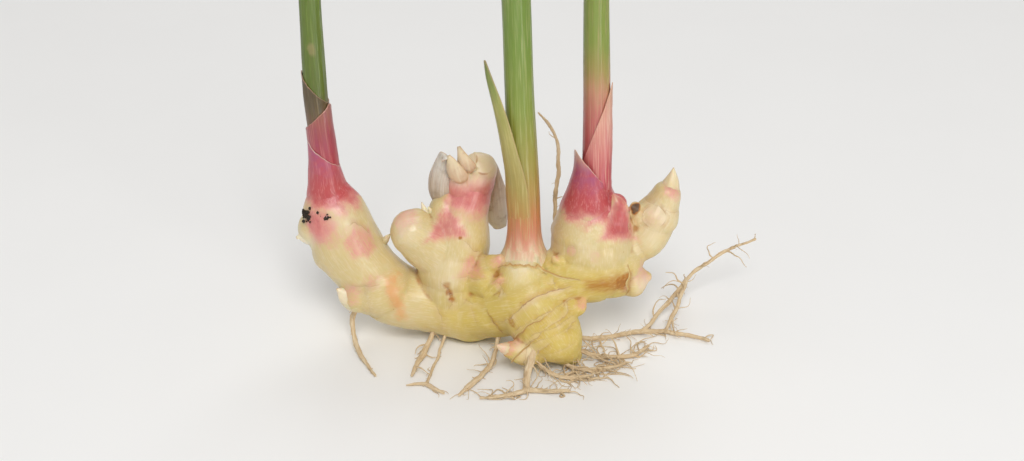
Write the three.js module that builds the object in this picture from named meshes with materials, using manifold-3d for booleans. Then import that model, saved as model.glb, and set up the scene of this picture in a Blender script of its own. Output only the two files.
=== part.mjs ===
// Fresh young ginger: one branching rhizome with three leafy stems, bud scales, roots and
// a little soil. Millimetres, +Z up. It stands on the plane Z = 0 on the underside of the
// rhizome and on the roots that spread over the surface.

import * as THREE from 'three';
import { mergeVertices } from 'three/addons/utils/BufferGeometryUtils.js';
import Module from 'manifold-3d';

const wasm = await Module();
wasm.setup();

// ---------------------------------------------------------------- driving dimensions

const GAP = 0.3; // clearance between pieces that touch
const SCALE_WALL = 0.9; // thickness of a bud scale
const CUT_HEIGHT = { left: 152, middle: 161, right: 156 }; // where the stems are cut off
const FOOTPRINT_CENTRE = [8.5, 19.2]; // middle of the footprint, moved to the origin
const FLOOR_SLAB = [400, 300, 40]; // block that trims the underside flat

// Every finger, lobe and bud of the rhizome as stations of x, y, z and radius, from
// where it leaves its parent to its tip.
const FINGERS = [
  // trunk, turning up into the left finger that carries the left stem
  { sides: 16, rows: 20, stations: [
    [-17, 20, 11.8, 13.2], [-32.5, 21, 14.4, 11.6], [-47.5, 22, 18.2, 12.2],
    [-58.5, 24, 29.5, 12.6], [-65.8, 26.5, 41.5, 12.9], [-69, 29, 54, 10.7],
    [-70.6, 29.7, 61.5, 7.6], [-71.1, 30, 68, 5.3],
  ] },
  // trunk, running on to the mother piece
  { sides: 16, rows: 11, stations: [
    [-17, 20, 12.6, 13.1], [-4.7, 15, 17.8, 12.8], [7, 9, 24.2, 13.1],
  ] },
  // second lobe, which ends in a closed shoot
  { sides: 16, rows: 16, stations: [
    [-22.6, 23, 12.6, 13.2], [-22.8, 23, 29, 14.4], [-20.7, 26, 42, 11.9],
    [-19.2, 29, 51, 9.6], [-16.6, 31, 58, 8.4], [-14.8, 32.2, 62, 7.4],
  ] },
  // round knob on the second lobe
  { sides: 14, rows: 10, stations: [
    [-27, 21, 36, 12.4], [-36.3, 22, 43.8, 9.2], [-40.6, 21, 48.3, 7.3],
  ] },
  // shoulder between the knob and the shoot
  { sides: 10, rows: 7, stations: [[-24, 26, 46, 8.4], [-25, 27, 53, 5.4]] },
  // swelling low on the right of the second lobe, with a bud above and below
  { sides: 10, rows: 8, stations: [[-15, 19, 29, 9.5], [-9.5, 13.5, 30, 7.4]] },
  { sides: 8, rows: 6, stations: [
    [-9.2, 14, 36.1, 4.2], [-5.4, 12, 39.6, 3.1], [-3, 11, 41.8, 1.6],
  ] },
  { sides: 8, rows: 6, stations: [[-8.5, 9, 28, 3.8], [-5.3, 6, 33, 2.3], [-4.3, 5, 36, 1.1]] },
  // neck of the mother piece, under the middle stem
  { sides: 16, rows: 11, stations: [
    [4.3, 12, 27, 12.4], [4.2, 14, 35.6, 10.3], [4.6, 16, 42.6, 7], [4.6, 16, 49, 5.2],
  ] },
  { sides: 10, rows: 7, stations: [[12.2, 10, 32, 7.2], [14.6, 9.2, 37, 4]] },
  // foot of the mother piece, turning down to the surface
  { sides: 16, rows: 13, stations: [
    [5, 12, 25, 12.4], [10, 5.5, 19, 13.4], [16, 1, 12.6, 11.8], [20.4, 0.6, 6.8, 8],
    [22.6, 1, 3.4, 4.6],
  ] },
  { sides: 8, rows: 6, stations: [
    [21.4, 3, 23.6, 4.6], [25.6, 2, 25.2, 3.4], [27.5, 2, 27.3, 1.2],
  ] },
  // pale bud at the front, low down
  { sides: 10, rows: 8, stations: [
    [12.7, -1, 8.8, 6.6], [5, -5, 9, 5.7], [-0.6, -6.8, 11, 3.3],
  ] },
  // short branch to the right, ending in a bud
  { sides: 14, rows: 12, stations: [
    [12, 10, 27, 11], [30.2, 13, 28.9, 7.6], [41.9, 15, 29, 6.9], [47.3, 16, 28.6, 7.2],
    [52.2, 16, 29.4, 2.4],
  ] },
  // round right lobe, under the right stem
  { sides: 16, rows: 13, stations: [
    [31, 17, 31, 10.1], [31.8, 19, 38.9, 15.8], [31.9, 21, 47.6, 16.1], [32, 22, 56.4, 11.2],
    [32, 23, 62.5, 6.6], [31.9, 23, 68, 4.6],
  ] },
  { sides: 8, rows: 6, stations: [
    [20.2, 10, 40, 3.8], [16.7, 8, 42.1, 1.9], [15.7, 7.3, 43.8, 0.9],
  ] },
  // outer right finger
  { sides: 14, rows: 12, stations: [
    [41, 21, 39, 9.3], [51.4, 23, 43.8, 8.5], [55.8, 25, 52.4, 8.4], [59, 26, 60.4, 5.6],
  ] },
  { sides: 8, rows: 6, stations: [[48.4, 22, 54, 4.2], [46.6, 21, 58.2, 2.8]] },
  // buds on the left finger
  { sides: 8, rows: 6, stations: [[-75, 25.5, 43, 6.2], [-79.6, 23.3, 43, 3.2]] },
  { sides: 8, rows: 6, stations: [[-56, 17.5, 19, 7], [-62, 15.2, 18.7, 4.4]] },
  // buds at the back of the trunk and of the right lobe
  { sides: 10, rows: 7, stations: [[-6, 27, 20, 6.8], [-8, 32, 24, 4]] },
  { sides: 10, rows: 7, stations: [[35, 33, 46, 6.4], [37.6, 37.6, 49, 3.4]] },
];

// Stems: x, y, z and radius, from inside the rhizome to the cut.
const STEMS = {
  stem_left: [
    [-71.1, 30, 64, 3.4], [-71.9, 30, 82, 3.4], [-72.6, 30, 98, 3.5], [-72.7, 30, 113, 4],
    [-72.4, 30, 130, 3.9], [-71.9, 30, CUT_HEIGHT.left, 3.8],
  ],
  stem_middle: [
    [4.6, 16, 41, 8], [4.6, 16, 46, 7.1], [4.6, 16, 53, 6.5], [4.2, 16, 72, 6],
    [2.9, 16, 105, 5.3], [1.4, 16, 143, 5.1], [0.8, 16, CUT_HEIGHT.middle, 5.1],
  ],
  stem_right: [
    [31.9, 23, 60, 4], [31.7, 23, 75, 4], [31.2, 23, 100, 4.1], [30.6, 23, 117, 4.5],
    [29.9, 23, 140, 4.4], [29.4, 23, CUT_HEIGHT.right, 4.3],
  ],
};

// Leaf sheaths that wrap a stem, outermost last on each stem: stations of the outer
// surface, the direction in which the slanted rim is highest (degrees from +X towards
// +Y) and how much higher the rim is there than across from it.
const SHEATHS = {
  sheath_left_inner: {
    highest: 180, slant: 12,
    stations: [[-72, 30, 84, 4.4], [-72.6, 30, 96, 4.45], [-72.8, 30, 104, 4.85]],
  },
  sheath_left_middle: {
    highest: -20, slant: 11,
    stations: [[-71.3, 30, 71, 5.4], [-71.9, 30, 82, 5.3], [-72.5, 30, 92, 5.1]],
  },
  sheath_left_outer: {
    highest: 200, slant: 8,
    stations: [[-70.1, 29.5, 58, 9.5], [-70.9, 29.8, 64, 7.4], [-71.5, 30, 75.5, 6.3]],
  },
  sheath_right_inner: {
    highest: 0, slant: 9,
    stations: [
      [31.9, 23, 66, 5.9], [31.7, 23, 78, 5.5], [31.3, 23, 95, 5.3], [30.9, 23, 107, 5.15],
    ],
  },
};

// Loose scale leaves: stations of x, y, z and half width along the middle line from base
// to tip, the way that the outer side faces, and how far it bends across, in degrees.
const SCALES = {
  leaf_middle: {
    face: [-0.55, -0.84, 0], bend: 50,
    stations: [
      [1.9, 9, 62, 3.8], [1.1, 8.4, 72, 3.9], [-1.1, 8.9, 84.4, 3.3], [-3.8, 10.6, 96, 2.7],
      [-6, 11.6, 105.5, 2.2], [-8.4, 12.4, 115, 1.4], [-9.7, 13, 122.4, 0.4],
    ],
  },
  sheath_right_outer: {
    face: [-0.55, -0.83, 0.1], bend: 62,
    stations: [
      [27.1, 14.6, 62.5, 7.6], [27.7, 15.4, 68, 6.6], [26.9, 16.4, 73.9, 5],
      [25, 17.6, 78.9, 3.2], [23.4, 18.8, 82.8, 1],
    ],
  },
  scale_right_flank: {
    face: [0.35, -0.72, 0.6], bend: 35,
    stations: [
      [40.3, 4.8, 53, 5.8], [41.1, 8.1, 58.6, 4.6], [41.1, 11.6, 62.6, 2.8],
      [39.7, 15.2, 66.4, 0.6],
    ],
  },
  bract_outer_left: {
    face: [-0.8, -0.6, 0.1], bend: 50,
    stations: [
      [-27.6, 27.4, 54.6, 3.4], [-30, 26.8, 60.4, 4.2], [-30, 27, 66, 4.2],
      [-28, 28, 72.6, 3], [-25.4, 29, 78, 1.6],
    ],
  },
  bract_tooth_left: {
    face: [-0.6, -0.8, 0], bend: 60,
    stations: [
      [-20.6, 23.2, 66.2, 4.3], [-21.8, 23.2, 70.4, 3.8], [-23, 24, 74.2, 2.6],
      [-24, 25, 77.6, 0.9],
    ],
  },
  bract_tooth_right: {
    face: [-0.35, -0.93, 0.1], bend: 60,
    stations: [
      [-16.4, 22.2, 69, 4.3], [-17.8, 22.2, 73.6, 3.4], [-19, 23, 77.8, 1.8],
      [-20, 24.2, 82, 0.5],
    ],
  },
  bract_outer_right: {
    face: [0.75, -0.6, 0.2], bend: 55,
    stations: [
      [-8.8, 36.8, 69.6, 3.4], [-6.4, 38, 65, 4.4], [-5, 38.4, 58, 4.8],
      [-3.4, 38.4, 49.6, 4.6], [-2.6, 38.4, 41.6, 4], [-3.6, 38.6, 35.6, 2.2],
    ],
  },
};

// Small pointed scales and bud tips: stations of x, y, z and radius.
const SPIKES = {
  spike_knob: [[-32.8, 24.4, 51.6, 1.7], [-33.8, 24, 55.4, 1.1], [-34.6, 24, 58.2, 0.4]],
  spike_left_finger: [[-50.6, 27.4, 38, 1.7], [-48.8, 26.8, 40.6, 1.2], [-47.6, 26.4, 42.6, 0.4]],
  tip_left_upper: [[-80.6, 22.8, 43, 2.7], [-82.6, 21.6, 43.6, 1.5], [-83.4, 21.2, 44.4, 0.6]],
  tip_left_lower: [[-63.6, 14.6, 18.8, 4], [-66.6, 13.6, 20.6, 2.6], [-68.4, 13, 22.8, 0.7]],
  tip_front_bud: [[-1.2, -7, 11.4, 3], [-4, -7.8, 13, 1.9], [-5.8, -8.2, 14.2, 0.6]],
  tip_right_finger: [[60, 26.1, 62.4, 4.6], [61, 26.6, 66.8, 2.9], [61.4, 27, 71.6, 0.6]],
  bract_cap: [[-14.2, 32.2, 63, 7.8], [-13.3, 33, 67.8, 7.2]],
};

// Roots: each one is a main strand and its side strands, as stations of x, y, z, radius.
const ROOTS = {
  root_right_long: [
    [[22, 4, 8.6, 1.5], [26.5, 7.5, 6.4, 1.3], [34, 13, 2.4, 1.2], [43.5, 17, 1.3, 1.15],
      [53.5, 19.6, 1.25, 1.2], [67, 18, 1.2, 1.1], [78, 13.4, 1, 0.9]],
    [[52, 19, 1.4, 1.1], [56, 24, 2.6, 1.1], [62.3, 32, 5, 1.1], [68.7, 38, 9.4, 1.1],
      [75, 44, 13.8, 1], [88, 50, 20, 0.85], [100.5, 54, 23.4, 0.6]],
    [[61, 18.6, 1.3, 1], [65, 26, 4.4, 1], [68.4, 34, 8.2, 1], [71.5, 40.6, 11.6, 0.9]],
  ],
  root_right_middle: [
    [[21, 0, 7, 1.4], [26.6, 0.6, 5, 1.2], [33.2, 1.8, 2, 1.1], [40, 2.3, 1.2, 1.1],
      [47, 3.2, 1.1, 1], [54, 9.6, 0.9, 0.8]],
  ],
  root_right_low: [
    [[18, -2, 5, 1.3], [22, -5, 2.2, 1.1], [29, -6.4, 1.2, 1.1], [38, -4.4, 1.1, 1],
      [44.4, -1, 0.9, 0.8]],
  ],
  root_front_right: [
    [[9, -5, 5.6, 1.2], [11.8, -7.4, 2.8, 1.05], [18.6, -10.6, 1.1, 1], [26, -11, 1, 1],
      [31.4, -9.4, 0.8, 0.7]],
  ],
  root_front: [
    [[9.4, -4, 14.4, 1.8], [7.6, -9.6, 10.4, 1.7], [6.1, -13.6, 5.2, 1.65], [5, -19.6, 1.8, 1.6]],
    [[4.9, -19, 1.5, 1.3], [12.4, -19.4, 1.15, 1.1], [21, -19.6, 1.05, 1]],
    [[5.2, -19.6, 1.5, 1.3], [-2.6, -22.4, 1.1, 1], [-12, -23.6, 0.8, 0.7]],
  ],
  root_front_left: [
    [[-5, 9, 8.4, 1.2], [-6.2, 2, 4.6, 1], [-8, -3, 1.8, 1.1], [-11, -8.6, 1.3, 1.2],
      [-15.4, -15.6, 1.4, 1.3], [-19.9, -22, 0.9, 0.8]],
  ],
  root_left_thick: [
    [[-31, 15, 7, 1.4], [-32.6, 9.6, 3.6, 1.3], [-34.6, 4.2, 1.6, 1.4], [-37, -3.4, 1.4, 1.3],
      [-38.4, -9.6, 0.9, 0.8]],
  ],
  root_left_thin: [
    [[-26, 14, 5, 0.8], [-27.4, 9, 2.6, 0.7], [-29.6, 1, 0.9, 0.7], [-31.6, -9, 0.8, 0.7],
      [-32.2, -14.4, 0.9, 0.8]],
    [[-39.6, -15.6, 0.8, 0.7], [-33.6, -14.8, 1, 0.9], [-29.4, -17.6, 1, 1], [-26, -20.6, 0.8, 0.7]],
  ],
  root_left_far: [
    [[-58, 20, 18, 1.5], [-63, 15.4, 9.4, 1.3], [-61.6, 9, 3, 1.2], [-57.6, 0, 1.2, 1.1],
      [-52.2, -9.6, 0.8, 0.7]],
  ],
  root_back: [
    [[10, 18, 22, 1.5], [14.5, 27.5, 22, 1.3], [17.8, 35, 31, 1.2], [17.2, 42.4, 42.4, 1.15],
      [18.2, 50, 53.6, 1.1], [18.6, 56, 64, 1], [15.6, 60, 72, 0.9], [10.6, 62, 77.8, 0.6]],
  ],
};

// Crumbs of soil on the left finger: centre and radius.
const CRUMBS = {
  soil_crumb_large: [-77.8, 21.4, 54.2, 2.6],
  soil_crumb_middle: [-70, 18.2, 55.2, 1.6],
  soil_crumb_small: [-73.8, 19.4, 56.2, 1.1],
};

// ---------------------------------------------------------------- materials

function skin(colour, roughness) {
  return new THREE.MeshStandardMaterial({ color: colour, roughness, metalness: 0 });
}

const MATERIALS = {
  rhizome: skin(0xecdf9c, 0.42),
  stem: skin(0x7f9a3c, 0.38),
  sheath: skin(0xc4525c, 0.42),
  leaf: skin(0xa3a44a, 0.45),
  bract: skin(0xe9dcd2, 0.4),
  tip: skin(0xf0ddc9, 0.45),
  root: skin(0xb79c6c, 0.75),
  soil: skin(0x2a221c, 0.95),
};

// ---------------------------------------------------------------- shapes

// A centre line with a radius that varies smoothly along it.
function spine(stations) {
  const centre = new THREE.CatmullRomCurve3(
    stations.map(([x, y, z]) => new THREE.Vector3(x, y, z)), false, 'catmullrom', 0.5,
  );
  const width = new THREE.SplineCurve(stations.map((s, i) => new THREE.Vector2(i, s[3])));
  return {
    length: centre.getLength(),
    at(u) {
      const t = centre.getUtoTmapping(THREE.MathUtils.clamp(u, 0, 1));
      return { point: centre.getPoint(t), radius: width.getPoint(t).y, t };
    },
    centre,
  };
}

// Square-on directions at each step along a spine, carried along without twisting.
function frames(line, steps) {
  const { tangents, normals, binormals } = line.centre.computeFrenetFrames(steps, false);
  return (i) => ({ along: tangents[i], side: normals[i], up: binormals[i] });
}

function warp(geometry, place) {
  const position = geometry.attributes.position;
  for (let i = 0; i < position.count; i += 1) {
    const p = place(position.getX(i), position.getY(i), position.getZ(i), i);
    position.setXYZ(i, p.x, p.y, p.z);
  }
  return geometry;
}

// A sphere drawn out along a spine: a body of varying radius with a round cap at each end.
function fingerGeometry(stations, { sides, rows, capRows = rows > 9 ? 3 : 2, grow = 0 }) {
  const line = spine(stations);
  const bodyRows = rows - 2 * capRows;
  const frame = frames(line, bodyRows);
  const columns = sides + 1;
  const ball = new THREE.SphereGeometry(1, sides, rows);
  return warp(ball, (x, y, z, index) => {
    const row = Math.floor(index / columns);
    const step = THREE.MathUtils.clamp(row - capRows, 0, bodyRows);
    const { point, radius } = line.at(step / bodyRows);
    const { along, side, up } = frame(step);
    const fromCap = THREE.MathUtils.clamp(Math.min(row, rows - row) / capRows, 0, 1);
    const capAngle = fromCap * Math.PI / 2;
    const size = radius + grow;
    const ring = size * Math.sin(capAngle);
    const overhang = size * Math.cos(capAngle) * (row < capRows ? -1 : 1);
    const turn = (index % columns % sides) / sides * 2 * Math.PI;
    return point.clone()
      .addScaledVector(along, row <= capRows || row >= rows - capRows ? overhang : 0)
      .addScaledVector(side, -ring * Math.cos(turn))
      .addScaledVector(up, ring * Math.sin(turn));
  });
}

// A stem or sheath: a cylinder fitted to a nearly upright spine. With a slant, its upper
// rim rises on one side and drops on the other.
function stalkGeometry(stations, { sides, rows, grow = 0, slant = 0, highest = 0 }) {
  const line = spine(stations);
  const post = new THREE.CylinderGeometry(1, 1, 1, sides, rows);
  const highestTurn = THREE.MathUtils.degToRad(highest);
  return warp(post, (x, y, z) => {
    const u = y + 0.5;
    const { point, radius } = line.at(u);
    const distance = Math.hypot(x, z);
    const turn = Math.atan2(-z, x);
    const lift = distance * Math.cos(turn - highestTurn) * slant / 2 * u * u;
    const reach = distance * (radius + grow);
    return new THREE.Vector3(
      point.x + reach * Math.cos(turn), point.y + reach * Math.sin(turn), point.z + lift,
    );
  });
}

// A cupped scale leaf: a thin box laid along a middle line and bent round it.
function scaleGeometry(stations, { face, bend, wall = SCALE_WALL, across = 6, rows = 7 }) {
  const line = spine(stations);
  const facing = new THREE.Vector3(...face).normalize();
  const halfBend = THREE.MathUtils.degToRad(bend);
  const sheet = new THREE.BoxGeometry(2, 1, 1, across, rows, 1);
  return warp(sheet, (x, y, z) => {
    const u = y + 0.5;
    const { point, radius: halfWidth } = line.at(u);
    const along = line.centre.getTangentAt(u);
    const side = new THREE.Vector3().crossVectors(along, facing).normalize();
    const out = new THREE.Vector3().crossVectors(side, along).normalize();
    const curl = halfWidth / Math.sin(halfBend);
    const reach = curl + (z > 0 ? wall / 2 : -Math.min(wall / 2, curl / 2));
    const turn = x * halfBend;
    return point.clone()
      .addScaledVector(side, reach * Math.sin(turn))
      .addScaledVector(out, reach * Math.cos(turn) - curl);
  });
}

// A lump of soil: a ball with every corner pushed in or out a little.
function crumbGeometry([x, y, z, radius]) {
  const lump = new THREE.IcosahedronGeometry(radius, 1);
  return warp(lump, (px, py, pz) => {
    const rough = 1 + 0.16 * Math.sin(5.1 * px + 2.3 * py) * Math.cos(4.3 * pz - 1.7 * py);
    return new THREE.Vector3(x + px * rough, y + py * rough, z + pz * rough);
  });
}

// ---------------------------------------------------------------- joining and cutting

function toSolid(geometry) {
  const bare = geometry.clone();
  bare.deleteAttribute('normal');
  bare.deleteAttribute('uv');
  const merged = mergeVertices(bare, 1e-4);
  return new wasm.Manifold(new wasm.Mesh({
    numProp: 3,
    vertProperties: Float32Array.from(merged.attributes.position.array),
    triVerts: Uint32Array.from(merged.index.array),
  }));
}

function toGeometry(solid) {
  const { vertProperties, triVerts } = solid.getMesh();
  const geometry = new THREE.BufferGeometry();
  geometry.setAttribute('position', new THREE.BufferAttribute(vertProperties, 3));
  geometry.setIndex(new THREE.BufferAttribute(triVerts, 1));
  geometry.computeVertexNormals();
  return geometry;
}

function union(solids) {
  return solids.reduce((whole, solid) => whole.add(solid));
}

// Cuts the tools away and keeps the largest piece that is left.
function trimmed(solid, ...tools) {
  const rest = tools.reduce((left, tool) => left.subtract(tool), solid);
  const pieces = rest.decompose();
  return pieces.reduce((a, b) => (a.volume() >= b.volume() ? a : b));
}

// ---------------------------------------------------------------- pieces

function rhizomeSolid(grow) {
  return union(FINGERS.map(({ stations, sides, rows }) => (
    toSolid(fingerGeometry(stations, { sides, rows, grow }))
  )));
}

function floorSolid() {
  const slab = new THREE.BoxGeometry(...FLOOR_SLAB);
  slab.translate(0, 0, -FLOOR_SLAB[2] / 2);
  return toSolid(slab);
}

const ginger = new THREE.Group();
ginger.position.set(-FOOTPRINT_CENTRE[0], -FOOTPRINT_CENTRE[1], 0);

function addPiece(name, solid, material) {
  const mesh = new THREE.Mesh(toGeometry(solid), MATERIALS[material].clone());
  mesh.name = name;
  ginger.add(mesh);
}

const floor = floorSolid();
const rhizome = trimmed(rhizomeSolid(0), floor);
const aroundRhizome = rhizomeSolid(GAP);
addPiece('rhizome', rhizome, 'rhizome');

// Stems stand in the tops of the fingers.
const aroundStems = {};
for (const [name, stations] of Object.entries(STEMS)) {
  const shape = { sides: 14, rows: 9 };
  const stem = trimmed(toSolid(stalkGeometry(stations, shape)), aroundRhizome);
  addPiece(name, stem, 'stem');
  aroundStems[name] = toSolid(stalkGeometry(stations, { ...shape, grow: GAP }));
}

// Sheaths wrap the stems one inside the next.
let wrapped = union([aroundRhizome, ...Object.values(aroundStems)]);
for (const [name, { stations, highest, slant }] of Object.entries(SHEATHS)) {
  const shape = { sides: 12, rows: 4, highest, slant };
  const sheath = trimmed(toSolid(stalkGeometry(stations, shape)), wrapped);
  addPiece(name, sheath, 'sheath');
  wrapped = wrapped.add(toSolid(stalkGeometry(stations, { ...shape, grow: GAP })));
}

// The bud tips and spikes sit on the rhizome.
for (const [name, stations] of Object.entries(SPIKES)) {
  const shape = { sides: 8, rows: 7, capRows: 2 };
  const tip = trimmed(toSolid(fingerGeometry(stations, shape)), wrapped);
  addPiece(name, tip, name.startsWith('bract') ? 'bract' : 'tip');
  wrapped = wrapped.add(toSolid(fingerGeometry(stations, { ...shape, grow: GAP })));
}

// Loose scale leaves, each clear of those before it.
const scaleMaterial = { leaf_middle: 'leaf', sheath_right_outer: 'sheath', scale_right_flank: 'sheath' };
for (const [name, { stations, face, bend }] of Object.entries(SCALES)) {
  const leaf = trimmed(toSolid(scaleGeometry(stations, { face, bend })), wrapped);
  addPiece(name, leaf, scaleMaterial[name] ?? 'bract');
  wrapped = wrapped.add(toSolid(scaleGeometry(stations, { face, bend, wall: SCALE_WALL + 2 * GAP })));
}

// Roots, each a joined main strand and its side strands.
for (const [name, strands] of Object.entries(ROOTS)) {
  const tree = union(strands.map((stations) => (
    toSolid(fingerGeometry(stations, { sides: 6, rows: 2 * stations.length + 1, capRows: 1 }))
  )));
  addPiece(name, trimmed(tree, wrapped, floor), 'root');
}

for (const [name, place] of Object.entries(CRUMBS)) {
  addPiece(name, trimmed(toSolid(crumbGeometry(place)), wrapped), 'soil');
}

export default ginger;
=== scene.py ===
"""Fresh young ginger: the finished surfaces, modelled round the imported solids.

Run as a script. Each piece has its own operator, and main() calls them in order.
"""

import math
import random

import bpy
import numpy as np
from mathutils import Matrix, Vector, noise
from mathutils.bvhtree import BVHTree


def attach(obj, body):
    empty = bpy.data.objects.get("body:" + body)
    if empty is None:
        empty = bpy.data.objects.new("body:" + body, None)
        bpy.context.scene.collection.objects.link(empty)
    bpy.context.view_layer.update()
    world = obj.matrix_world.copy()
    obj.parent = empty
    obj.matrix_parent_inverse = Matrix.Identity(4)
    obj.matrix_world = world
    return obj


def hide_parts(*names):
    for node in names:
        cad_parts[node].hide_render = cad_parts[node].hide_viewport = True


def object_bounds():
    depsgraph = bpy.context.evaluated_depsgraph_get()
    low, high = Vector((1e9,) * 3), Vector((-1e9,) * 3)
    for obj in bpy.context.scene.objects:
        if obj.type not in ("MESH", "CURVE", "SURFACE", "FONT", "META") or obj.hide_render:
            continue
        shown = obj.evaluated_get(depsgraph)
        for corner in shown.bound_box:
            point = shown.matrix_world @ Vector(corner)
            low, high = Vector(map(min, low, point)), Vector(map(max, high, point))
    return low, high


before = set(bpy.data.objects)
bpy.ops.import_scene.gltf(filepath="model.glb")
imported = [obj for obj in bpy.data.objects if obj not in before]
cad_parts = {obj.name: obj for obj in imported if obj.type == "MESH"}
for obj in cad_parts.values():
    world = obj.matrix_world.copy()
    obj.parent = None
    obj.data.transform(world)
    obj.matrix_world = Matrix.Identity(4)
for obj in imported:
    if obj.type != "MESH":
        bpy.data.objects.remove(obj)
CAD_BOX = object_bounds()

bl_info = {
    "name": "Ginger Root",
    "version": (1, 0, 0),
    "blender": (4, 5, 0),
    "location": "View3D > Sidebar > Ginger",
    "description": "Models a fresh ginger rhizome with its stems, sheaths, roots and soil",
    "category": "Add Mesh",
}

# ---------------------------------------------------------------- driving dimensions

MM = 0.001
BODY = "root"
DATUM = np.array([8.5, 19.2, 0.0])  # middle of the footprint in the tables below, in mm
SEED = 7

# Tables are in millimetres, with +Z up and the surface at z = 0. A station is x, y, z and
# radius. A ring is where a scale leaf grew: its distance along the finger, how plainly it
# shows, and how far it leans upwards for each millimetre of height.
FINGERS = {
    "left_finger": {
        "stations": [
            (-17, 20, 11.8, 13.2), (-32.5, 21, 14.4, 11.6), (-47.5, 22, 18.2, 12.2),
            (-58.5, 24, 29.5, 12.6), (-66, 26.3, 41.5, 13.2), (-69.4, 28.6, 53.4, 11.7),
            (-70.6, 29.7, 61.5, 7.6), (-71.1, 30, 68, 5.3),
        ],
        "rings": [],
    },
    "trunk": {
        "stations": [(-17, 20, 12.6, 13.1), (-4.7, 15, 17.8, 12.8), (7, 9, 24.2, 13.1)],
        "rings": [(9, 0.3, 0)],
    },
    "second_lobe": {
        "stations": [
            (-22.6, 23, 12.6, 13.2), (-22.8, 23, 29, 14.2), (-20.7, 26, 42, 12.2),
            (-19.2, 29, 51, 10.0), (-16.6, 31, 58, 8.4), (-14.8, 32.2, 62, 7.4),
        ],
        "rings": [(13.5, 0.22, 0.1), (24.5, 0.12, -0.1)],
    },
    "knob": {
        "stations": [(-25, 23.8, 35, 12), (-33, 22.6, 42, 10.8), (-38, 21.8, 46, 9)],
        "rings": [],
    },
    "knob_corner": {
        "stations": [(-36, 22, 43, 8.6), (-40.9, 21, 49.4, 5.5), (-36.6, 22, 50.4, 5.6)],
        "rings": [],
    },
    "shoulder": {
        "stations": [(-24, 26, 45, 9), (-25.4, 27, 52.8, 6.9), (-23.6, 27.6, 57, 4.4)],
        "rings": [],
    },
    "swelling": {"stations": [(-15, 19, 29, 9.5), (-9.5, 13.5, 30, 7.4)], "rings": [(5, 0.4, 0)]},
    "swelling_bud_high": {
        "stations": [(-9.2, 14, 35.6, 4.6), (-6.4, 12.6, 38, 3.6), (-4.6, 12, 39.8, 2.3)],
        "rings": [(2.5, 0.3, 0)],
    },
    "swelling_bud_low": {
        "stations": [(-8.5, 9, 28, 3.8), (-5.3, 6, 33, 2.3), (-4.3, 5, 36, 1.1)],
        "rings": [],
    },
    "neck": {
        "stations": [(4.3, 12, 27, 12.4), (4.3, 12.6, 34, 10.4), (4.6, 13.6, 38, 8.3), (4.7, 15, 42, 5)],
        "rings": [],
    },
    "neck_bud": {"stations": [(12.2, 10, 31, 7.2), (15, 9.2, 36, 3.6)], "rings": [(3, 0.4, 0)]},
    "foot": {
        "stations": [
            (5, 12, 25, 12.4), (10, 5.5, 19, 13.4), (16, 1, 12.6, 11.8), (20.4, 0.6, 6.8, 8),
            (22.6, 1, 3.4, 4.6),
        ],
        "rings": [(13, 0.5, 0), (17, 0.55, 0), (21, 0.5, 0)],
    },
    "foot_bud": {
        "stations": [(21.4, 3, 23.6, 4.6), (25.6, 2, 25.2, 3.4), (27.5, 2, 27.3, 1.2)],
        "rings": [(1.5, 0.6, 0)],
    },
    "front_bud": {
        "stations": [(12.7, -1, 8.8, 6.6), (5, -5, 9, 5.7), (-0.6, -6.8, 11, 3.3)],
        "rings": [(6, 0.6, 0), (10.5, 0.5, 0)],
    },
    "right_branch": {
        "stations": [
            (12, 10, 27, 11), (30.2, 13, 28.9, 7.6), (41.9, 15, 29, 6.9), (47.3, 16, 28.6, 7.0),
            (50.4, 16, 29, 4.9), (52.4, 16, 29.4, 2.1),
        ],
        "rings": [(15, 0.2, 0), (23, 0.35, 0), (32, 0.85, 0)],
    },
    "right_lobe": {
        "stations": [
            (30, 17, 31.5, 12.4), (31, 19, 38.9, 15.8), (30.9, 21, 47.6, 16.1), (30.5, 22, 54.6, 13.0),
            (30.6, 22.8, 61, 9.4), (31.4, 23, 67, 6.0),
        ],
        "rings": [(14, 0.16, 0)],
    },
    "lobe_joint": {
        "stations": [(19, 13.5, 31, 11.4), (31, 15, 34.4, 12.8), (40, 17.6, 35.6, 10.4)],
        "rings": [],
    },
    "right_lobe_bud": {
        "stations": [(20.2, 10, 40, 3.8), (16.7, 8, 42.1, 1.9), (15.7, 7.3, 43.8, 0.9)],
        "rings": [(1.5, 0.5, 0)],
    },
    "right_finger": {
        "stations": [(41, 21, 39, 9.3), (51.4, 23, 43.8, 8.5), (55.8, 25, 52.4, 8.4), (59, 26, 60.4, 5.6)],
        "rings": [(8, 0.25, 0), (17, 0.15, 0), (26.5, 0.35, 0)],
    },
    "right_stub": {"stations": [(49, 22, 53.4, 4.6), (47.2, 21, 57, 2.7)], "rings": [(2, 0.3, 0)]},
    "lobe_shoulder": {
        "stations": [(34, 20, 48, 12), (37.4, 18.6, 55, 8), (39.6, 18.2, 60.8, 4)],
        "rings": [],
    },
    "left_bud_high": {"stations": [(-71.4, 27.6, 46.4, 10.6), (-75.0, 25.8, 45.4, 7.6)], "rings": []},
    "left_side": {"stations": [(-64, 25, 40, 11), (-68.2, 24.6, 36.8, 9.8)], "rings": []},
    "left_bud_low": {
        "stations": [(-50, 19.5, 22, 11.4), (-56.4, 18, 21, 10.2), (-60.6, 17, 21, 7.2)],
        "rings": [(8, 0.2, 0)],
    },
    "back_bud_trunk": {"stations": [(-6, 27, 20, 6.8), (-8, 32, 24, 4)], "rings": [(3.5, 0.6, 0)]},
    "back_bud_lobe": {"stations": [(35, 33, 46, 6.4), (37.6, 37.6, 49, 3.4)], "rings": [(3, 0.6, 0)]},
}

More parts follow.
